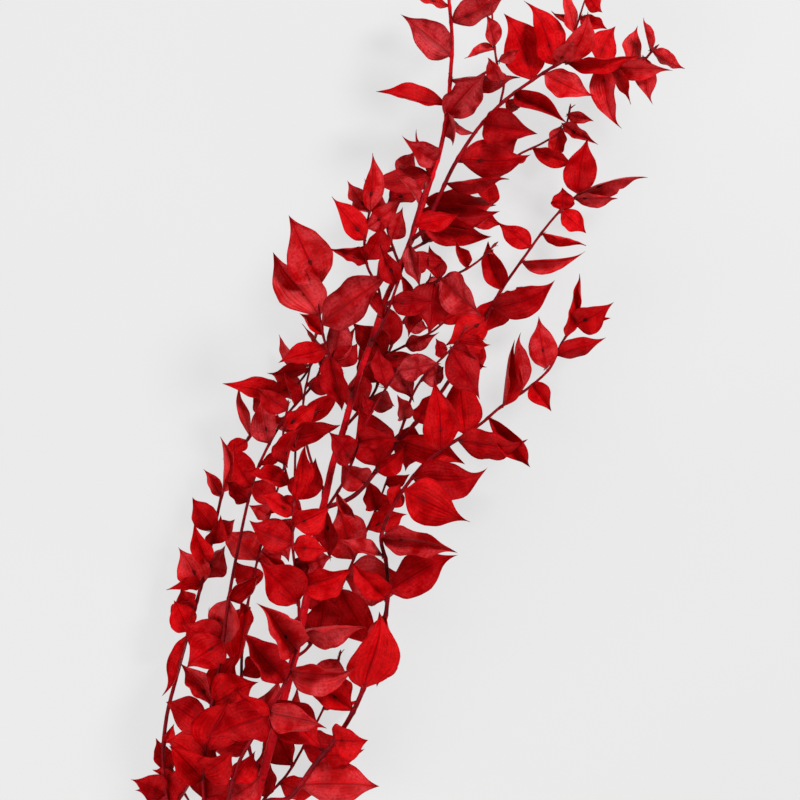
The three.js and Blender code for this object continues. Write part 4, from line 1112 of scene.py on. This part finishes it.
def leaf_material(name, gloss, sheen, highlight_share):
    """Dyed leaf: deep red with streaks, a darker rim and tip, painted shade at the foot and along
    the rib's fold, and a pink painted highlight on each half.
    """
    look = Look(name, (0.5, 0.01, 0.02))
    v, u, tone = (look.mark(label) for label in ("blade_v", "blade_u", "tone"))
    off_rib = look.math("ABSOLUTE", v)
    own = look.vector(look.times(v, 8.0), look.times(u, 38.0), look.times(tone, 91.0))
    stretched = look.vector(look.times(v, 22.0), look.times(u, 2.4), look.times(tone, 37.0))
    blotch = look.noise(own, 0.12, 2.0, 0.45)
    mottle = look.noise(own, 0.9)
    streak = look.noise(stretched, 0.9)
    # The tone holds the leaf's own dye and the painted shade of the spray's crowded middle.
    colour = look.ramp(tone, [
        (0.0, (0.36, 0.001, 0.003)), (0.35, (0.46, 0.001, 0.003)),
        (0.65, (0.58, 0.001, 0.003)), (1.0, (0.7, 0.002, 0.004)),
    ])
    # Painted shade: the colour darkens toward the leaf's foot, where it springs from its twig.
    foot = look.scaled(mottle, 0.12, u)
    for share, factor, stops in (
        (1.0, blotch, [(0.3, 0.7), (0.48, 0.95), (0.56, 1.03), (0.7, 1.14)]),
        (0.85, streak, [(0.32, 0.66), (0.5, 0.99), (0.68, 1.26)]),
        (0.8, mottle, [(0.3, 0.72), (0.5, 1.0), (0.7, 1.24)]),
        (0.8, foot, [(0.06, 0.55), (0.26, 1.0)]),
    ):
        colour = look.shade(colour, share, factor, stops)
    off_scar = look.math("ABSOLUTE", look.scaled(u, 9.0, -2.7))
    stain = look.scaled(off_rib, -2.6, look.math("SUBTRACT", 1.25, off_scar))
    stain = look.times(stain, look.scaled(mottle, 3.0, -0.9), clamp=True)
    # Painted highlight: a pink sheen across the middle of each half, broken up by the noise.
    painted_highlight = look.times(off_rib, look.times(look.math("SUBTRACT", 1.15, off_rib), 3.0))
    painted_highlight = look.times(painted_highlight, look.scaled(mottle, 3.0, -0.8))
    painted_highlight = look.times(painted_highlight, look.scaled(blotch, 6.0, -2.4, clamp=True), clamp=True)
    # Painted shade: a dark line in the fold along the rib.
    rib = look.scaled(off_rib, -26.0, 1.5, clamp=True)
    rim = look.times(look.scaled(off_rib, 9.0, -8.1, clamp=True), look.scaled(mottle, 1.2, -0.2))
    dry_tip = look.scaled(u, 9.0, -8.0, clamp=True)
    specks = look.ramp(look.noise(own, 2.6, 2.0, 0.5), [(0.7, 0.0), (0.78, 1.0)])
    for mask, share, target in (
        (stain, 0.6, (0.16, 0.001, 0.003)),
        # painted highlight
        (painted_highlight, highlight_share, (0.72, 0.066, 0.08)),
        # painted shade in the rib's fold
        (rib, 0.7, (0.2, 0.001, 0.004)),
        (rim, 0.7, (0.16, 0.004, 0.008)),
        (dry_tip, 0.7, (0.1, 0.006, 0.008)),
        (specks, 0.55, (0.11, 0.002, 0.005)),
    ):
        colour = look.tint(colour, mask, share, target)
    veins = look.scaled(look.math("SINE", look.scaled(v, 34.0, streak)), 0.5, 0.5)
    relief = look.scaled(mottle, 0.3, look.scaled(streak, 0.9, look.times(veins, 0.38)))
    bump = look.bump(0.7, 0.00035, relief)
    surface = look.principled(
        colour, look.scaled(mottle, 0.24, 0.3), bump, Specular_IOR_Level=gloss,
        Specular_Tint=(1.0, 0.36, 0.38), Sheen_Weight=sheen, Sheen_Roughness=0.4,
        Sheen_Tint=(1.0, 0.45, 0.45))
    glow = look.mix(0.6, colour, (0.74, 0.001, 0.002))
    through = look.node("ShaderNodeBsdfTranslucent", {"Color": glow, "Normal": bump}).outputs[0]
    both = look.node("ShaderNodeMixShader", {0: 0.36, 1: surface, 2: through}).outputs[0]
    return look.finish(both)


def twig_material(name, dark, bright, rough):
    """Dyed twig: patches and darker spots on a dull waxy skin, at least as rough as given."""
    look = Look(name, bright)
    place = look.place()
    spots = look.noise(place, 420.0)
    grain = look.noise(place, 1500.0, 2.0)
    colour = look.ramp(look.noise(place, 60.0), [(0.3, dark), (0.62, bright)])
    colour = look.shade(colour, 0.75, spots, [(0.34, 0.35), (0.46, 1.0)])
    bump = look.bump(0.5, 0.0003, look.scaled(spots, 0.7, look.times(grain, 0.3)))
    rougher = look.scaled(grain, 0.25, rough)
    return look.finish(look.principled(colour, rougher, bump, Specular_IOR_Level=0.06))


def cut_material():
    """The cut butt: pale dyed pith, rough from the cut."""
    look = Look("cut_end", (0.45, 0.12, 0.1))
    grain = look.noise(look.place(), 1400.0, 4.0, 0.7)
    colour = look.ramp(grain, [(0.35, (0.25, 0.03, 0.03)), (0.65, (0.62, 0.25, 0.2))])
    return look.finish(look.principled(colour, 0.8, look.bump(0.6, 0.0003, grain)))


MATERIALS = [
    # Each leaf material's last number sets how much pink painted highlight it carries.
    leaf_material("dyed_leaf", gloss=0.07, sheen=0.0, highlight_share=0.13),
    # The waxy leaves are glossier and carry the strongest pink painted highlight.
    leaf_material("waxy_leaf_painted_highlight", gloss=0.32, sheen=0.02, highlight_share=0.64),
    twig_material("dyed_twig", dark=(0.07, 0.001, 0.003), bright=(0.25, 0.001, 0.005), rough=0.42),
    twig_material("dyed_stem", dark=(0.26, 0.001, 0.005), bright=(0.6, 0.003, 0.009), rough=0.38),
    twig_material("papery_scale", dark=(0.09, 0.006, 0.008), bright=(0.26, 0.02, 0.02), rough=0.6),
    twig_material("flower_scar", dark=(0.04, 0.001, 0.002), bright=(0.11, 0.003, 0.005), rough=0.6),
    cut_material(),
]
LEAF_SLOT, WAXY_HIGHLIT_SLOT, TWIG_SLOT, STEM_SLOT, SCALE_SLOT, SCAR_SLOT, CUT_SLOT = range(7)


# ---------- dressing every node ----------

FINE_SEED = 7000000
STEM_SIDES, STEM_STEP = 20, 2.4  # corners of a ring, and the gap between rings
TWIG_SIDES, TWIG_STEP = 9, 2.8
SHOOT_SCALE_LENGTH, SHOOT_SCALE_WIDTH = 8.0, 3.6
SCAR_LENGTH = 26  # the shortest leaf that carries a scar
PRICKLE_SEED, PRICKLES = 4242, 150
FIRST_PRICKLE, FREE_OF_PRICKLES = 14, 40  # a distance, and the length that carries none
BUTT_SIDES = 24
SHARP_ANGLE = 50


def radius_at(twig, point):
    """The twig's radius where it passes the point."""
    gaps = np.linalg.norm(twig["axis"]["knots"] - point, axis=1)
    start, end = twig["radius"]
    return start + (end - start) * (gaps.argmin() / (len(gaps) - 1))


def leaf_foot(twig, leaf):
    """The skin where a leaf leaves its twig, the twig's direction there and the way out."""
    knots = twig["axis"]["knots"]
    gaps = np.linalg.norm(knots - leaf["base"], axis=1)
    i = int(np.clip(gaps.argmin(), 1, len(gaps) - 2)) if len(gaps) > 2 else 0
    ahead = unit(knots[min(i + 1, len(knots) - 1)] - knots[max(i - 1, 0)])
    aim, _, _ = leaf_frame(leaf)
    outward = aim - ahead * (aim @ ahead)
    if np.linalg.norm(outward) < 0.05:
        outward = UP - ahead * ahead[2]
    outward = unit(outward)
    return leaf["base"] + outward * radius_at(twig, leaf["base"]) * 0.75, ahead, outward


def add_scales(wood, scales):
    for points, faces, marks in scales:
        wood.add(points, faces, SCALE_SLOT, marks)


def dress(twigs, is_main, stem):
    """The fine leaves of one node, and its twigs with all that sits on them."""
    blades, wood = Gathered(), Gathered()
    for twig_number, twig in enumerate(twigs):
        seed = FINE_SEED + twig["seed"] * 1000
        if is_main and twig_number == 0:
            add_twig(wood, twig, STEM_SLOT, STEM_SIDES, STEM_STEP, seed)
        else:
            add_twig(wood, twig, TWIG_SLOT, TWIG_SIDES, TWIG_STEP, seed)
        add_scales(wood, bud_scales(twig, seed + 900))
        for index, leaf in enumerate(twig["leaves"]):
            own_seed = seed + index * 3
            habit = habit_of(own_seed + 1)
            suit_to_place(habit, leaf, stem)
            points, faces, marks, spot = blade_mesh(leaf, habit)
            # Waxy leaves, set toward the lit tip, carry the stronger painted highlight.
            blades.add(points, faces, WAXY_HIGHLIT_SLOT if habit["waxy"] else LEAF_SLOT, marks)
            skin, ahead, outward = leaf_foot(twig, leaf)
            size = 3.0 + 1.6 * habit["tone"]
            add_scales(wood, [scale_mesh(
                skin - ahead * 1.6, ahead, outward, size, size * 0.42, habit["tone"])])
            if habit["tuft"]:
                add_scales(wood, tuft_scales(skin, ahead, outward, own_seed))
            if habit["scar"] and leaf["length"] > SCAR_LENGTH:
                wood.add(*scar_mesh(spot, own_seed + 2), SCAR_SLOT)
    return blades, wood


def add_main_stem_details(wood, main, shoots):
    """Scales where the side shoots spring, and small prickles along the stem."""
    for shoot in shoots:
        base, ahead = place_on_axis(main["axis"], shoot["from"])
        away = shoot["axis"]["knots"][1] - base
        outward = unit(away - ahead * (away @ ahead))
        skin = base - ahead * 3 + outward * radius_at(main, base) * 0.85
        add_scales(wood, [scale_mesh(
            skin, ahead, outward, SHOOT_SCALE_LENGTH, SHOOT_SCALE_WIDTH, 0.6)])
    around = spread_from(PRICKLE_SEED)
    gap = (main["axis"]["length"] - FREE_OF_PRICKLES) / PRICKLES
    for step in range(PRICKLES):
        distance = FIRST_PRICKLE + gap * (step + around(0.4))
        base, ahead = place_on_axis(main["axis"], distance)
        beside = unit(np.cross(ahead, UP))
        angle = around(math.pi)
        out = beside * math.cos(angle) + np.cross(beside, ahead) * math.sin(angle)
        size = 0.42 + abs(around(0.35))
        skin = base + out * radius_at(main, base) * 0.93
        wood.add(*prickle_mesh(skin, out, ahead, size), STEM_SLOT, (1.0, 0.5, 0.5))


def add_butt(wood, main):
    """The cut face of the stem's lower end."""
    place, ahead = place_on_axis(main["axis"], 0)
    beside = unit(np.cross(ahead, UP))
    over = np.cross(beside, ahead)
    angles = ring_angles(BUTT_SIDES)[:, None]
    circle = main["radius"][0] * 0.86 * (beside * np.cos(angles) + over * np.sin(angles))
    rings = [place + ahead * along + circle * out
             for out, along in ((1.0, 0.6), (0.97, -0.12), (0.6, -0.2))]
    points = np.vstack([place + ahead * 0.8, *rings, place - ahead * 0.16])
    wood.add(points, [face[::-1] for face in loft_faces(3, BUTT_SIDES)], CUT_SLOT)


nodes = grow_spray()
main_stem = nodes[0][1][0]
for name, twigs in nodes:
    is_main = name == "main_stem"
    blades, wood = dress(twigs, is_main, main_stem)
    if is_main:
        add_main_stem_details(wood, main_stem, [own[0] for _, own in nodes[1:]])
        add_butt(wood, main_stem)
    for ending, gathered in (("leaves", blades), ("twigs", wood)):
        if gathered.count:
            piece = piece_from(f"{name}_{ending}", gathered, MATERIALS, SHARP_ANGLE)
            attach(piece, "root")
            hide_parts(name)

# ---------- floor, light and camera ----------

CAMERA_LENS = 150.0
CAMERA_SENSOR = 36.0
CAMERA_REACH = 2167.0  # from the camera to the plane the picture's scale is taken at
PICTURE_PLANE = 50.0  # height of that plane above the floor
FLOOR_SIDE = 6.0
FLOOR_DROP = 0.0006
FLOOR_GLOW = 0.65  # the floor is a sheet lit softly from below, so shadows on it stay pale
SKY_STRENGTH = 0.3
WHITE = (1.0, 1.0, 1.0, 1.0)


def floor_material():
    look = Look("pale_floor", (0.8, 0.8, 0.8))
    place = look.place()
    colour = look.ramp(look.noise(place, 3.0, 2.0, 0.5), [(0.3, 0.11), (0.7, 0.12)])
    bump = look.bump(0.12, 0.0004, look.noise(place, 260.0))
    return look.finish(look.principled(
        colour, 0.85, bump, Specular_IOR_Level=0.1, Emission_Color=WHITE,
        Emission_Strength=FLOOR_GLOW))


def add_object(name, data):
    made = bpy.data.objects.new(name, data)
    bpy.context.scene.collection.objects.link(made)
    return made


def add_floor():
    mesh = bpy.data.meshes.new("floor")
    far = FLOOR_SIDE / 2
    corners = [(-far, -far, 0), (far, -far, 0), (far, far, 0), (-far, far, 0)]
    mesh.from_pydata(corners, [], [(0, 1, 2, 3)])
    mesh.materials.append(floor_material())
    floor = add_object("floor", mesh)
    floor.location.z = -FLOOR_DROP


def on_sketch(x, y, z):
    return in_frame(np.array([[x, y, z]], float))[0]


def add_area_light(name, place, aim, size, power):
    data = bpy.data.lights.new(name, "AREA")
    data.shape = "DISK"
    data.size = size
    data.energy = power
    light = add_object(name, data)
    light.location = on_sketch(*place)
    direction = Vector(on_sketch(*aim) - on_sketch(*place))
    light.rotation_euler = direction.to_track_quat("-Z", "Y").to_euler()


def add_sky():
    world = bpy.data.worlds.new("studio")
    bpy.context.scene.world = world
    world.use_nodes = True
    background = world.node_tree.nodes["Background"]
    background.inputs["Color"].default_value = WHITE
    background.inputs["Strength"].default_value = SKY_STRENGTH


def add_camera():
    data = bpy.data.cameras.new("camera")
    data.lens = CAMERA_LENS
    data.sensor_width = CAMERA_SENSOR
    data.clip_start = 0.05
    data.clip_end = 20.0
    camera = add_object("camera", data)
    camera.location = on_sketch(0, 0, PICTURE_PLANE + CAMERA_REACH)
    camera.rotation_euler = (0.0, 0.0, math.radians(LEAN_OF_SPRAY))
    bpy.context.scene.camera = camera


add_floor()
add_area_light("key_light", (900, 950, 1250), aim=(0, 0, 40), size=0.5, power=37.0)
add_area_light("fill_light", (-760, -620, 800), aim=(-60, -120, 40), size=1.3, power=15.0)
add_sky()
add_camera()
bpy.context.scene.view_settings.view_transform = "Standard"
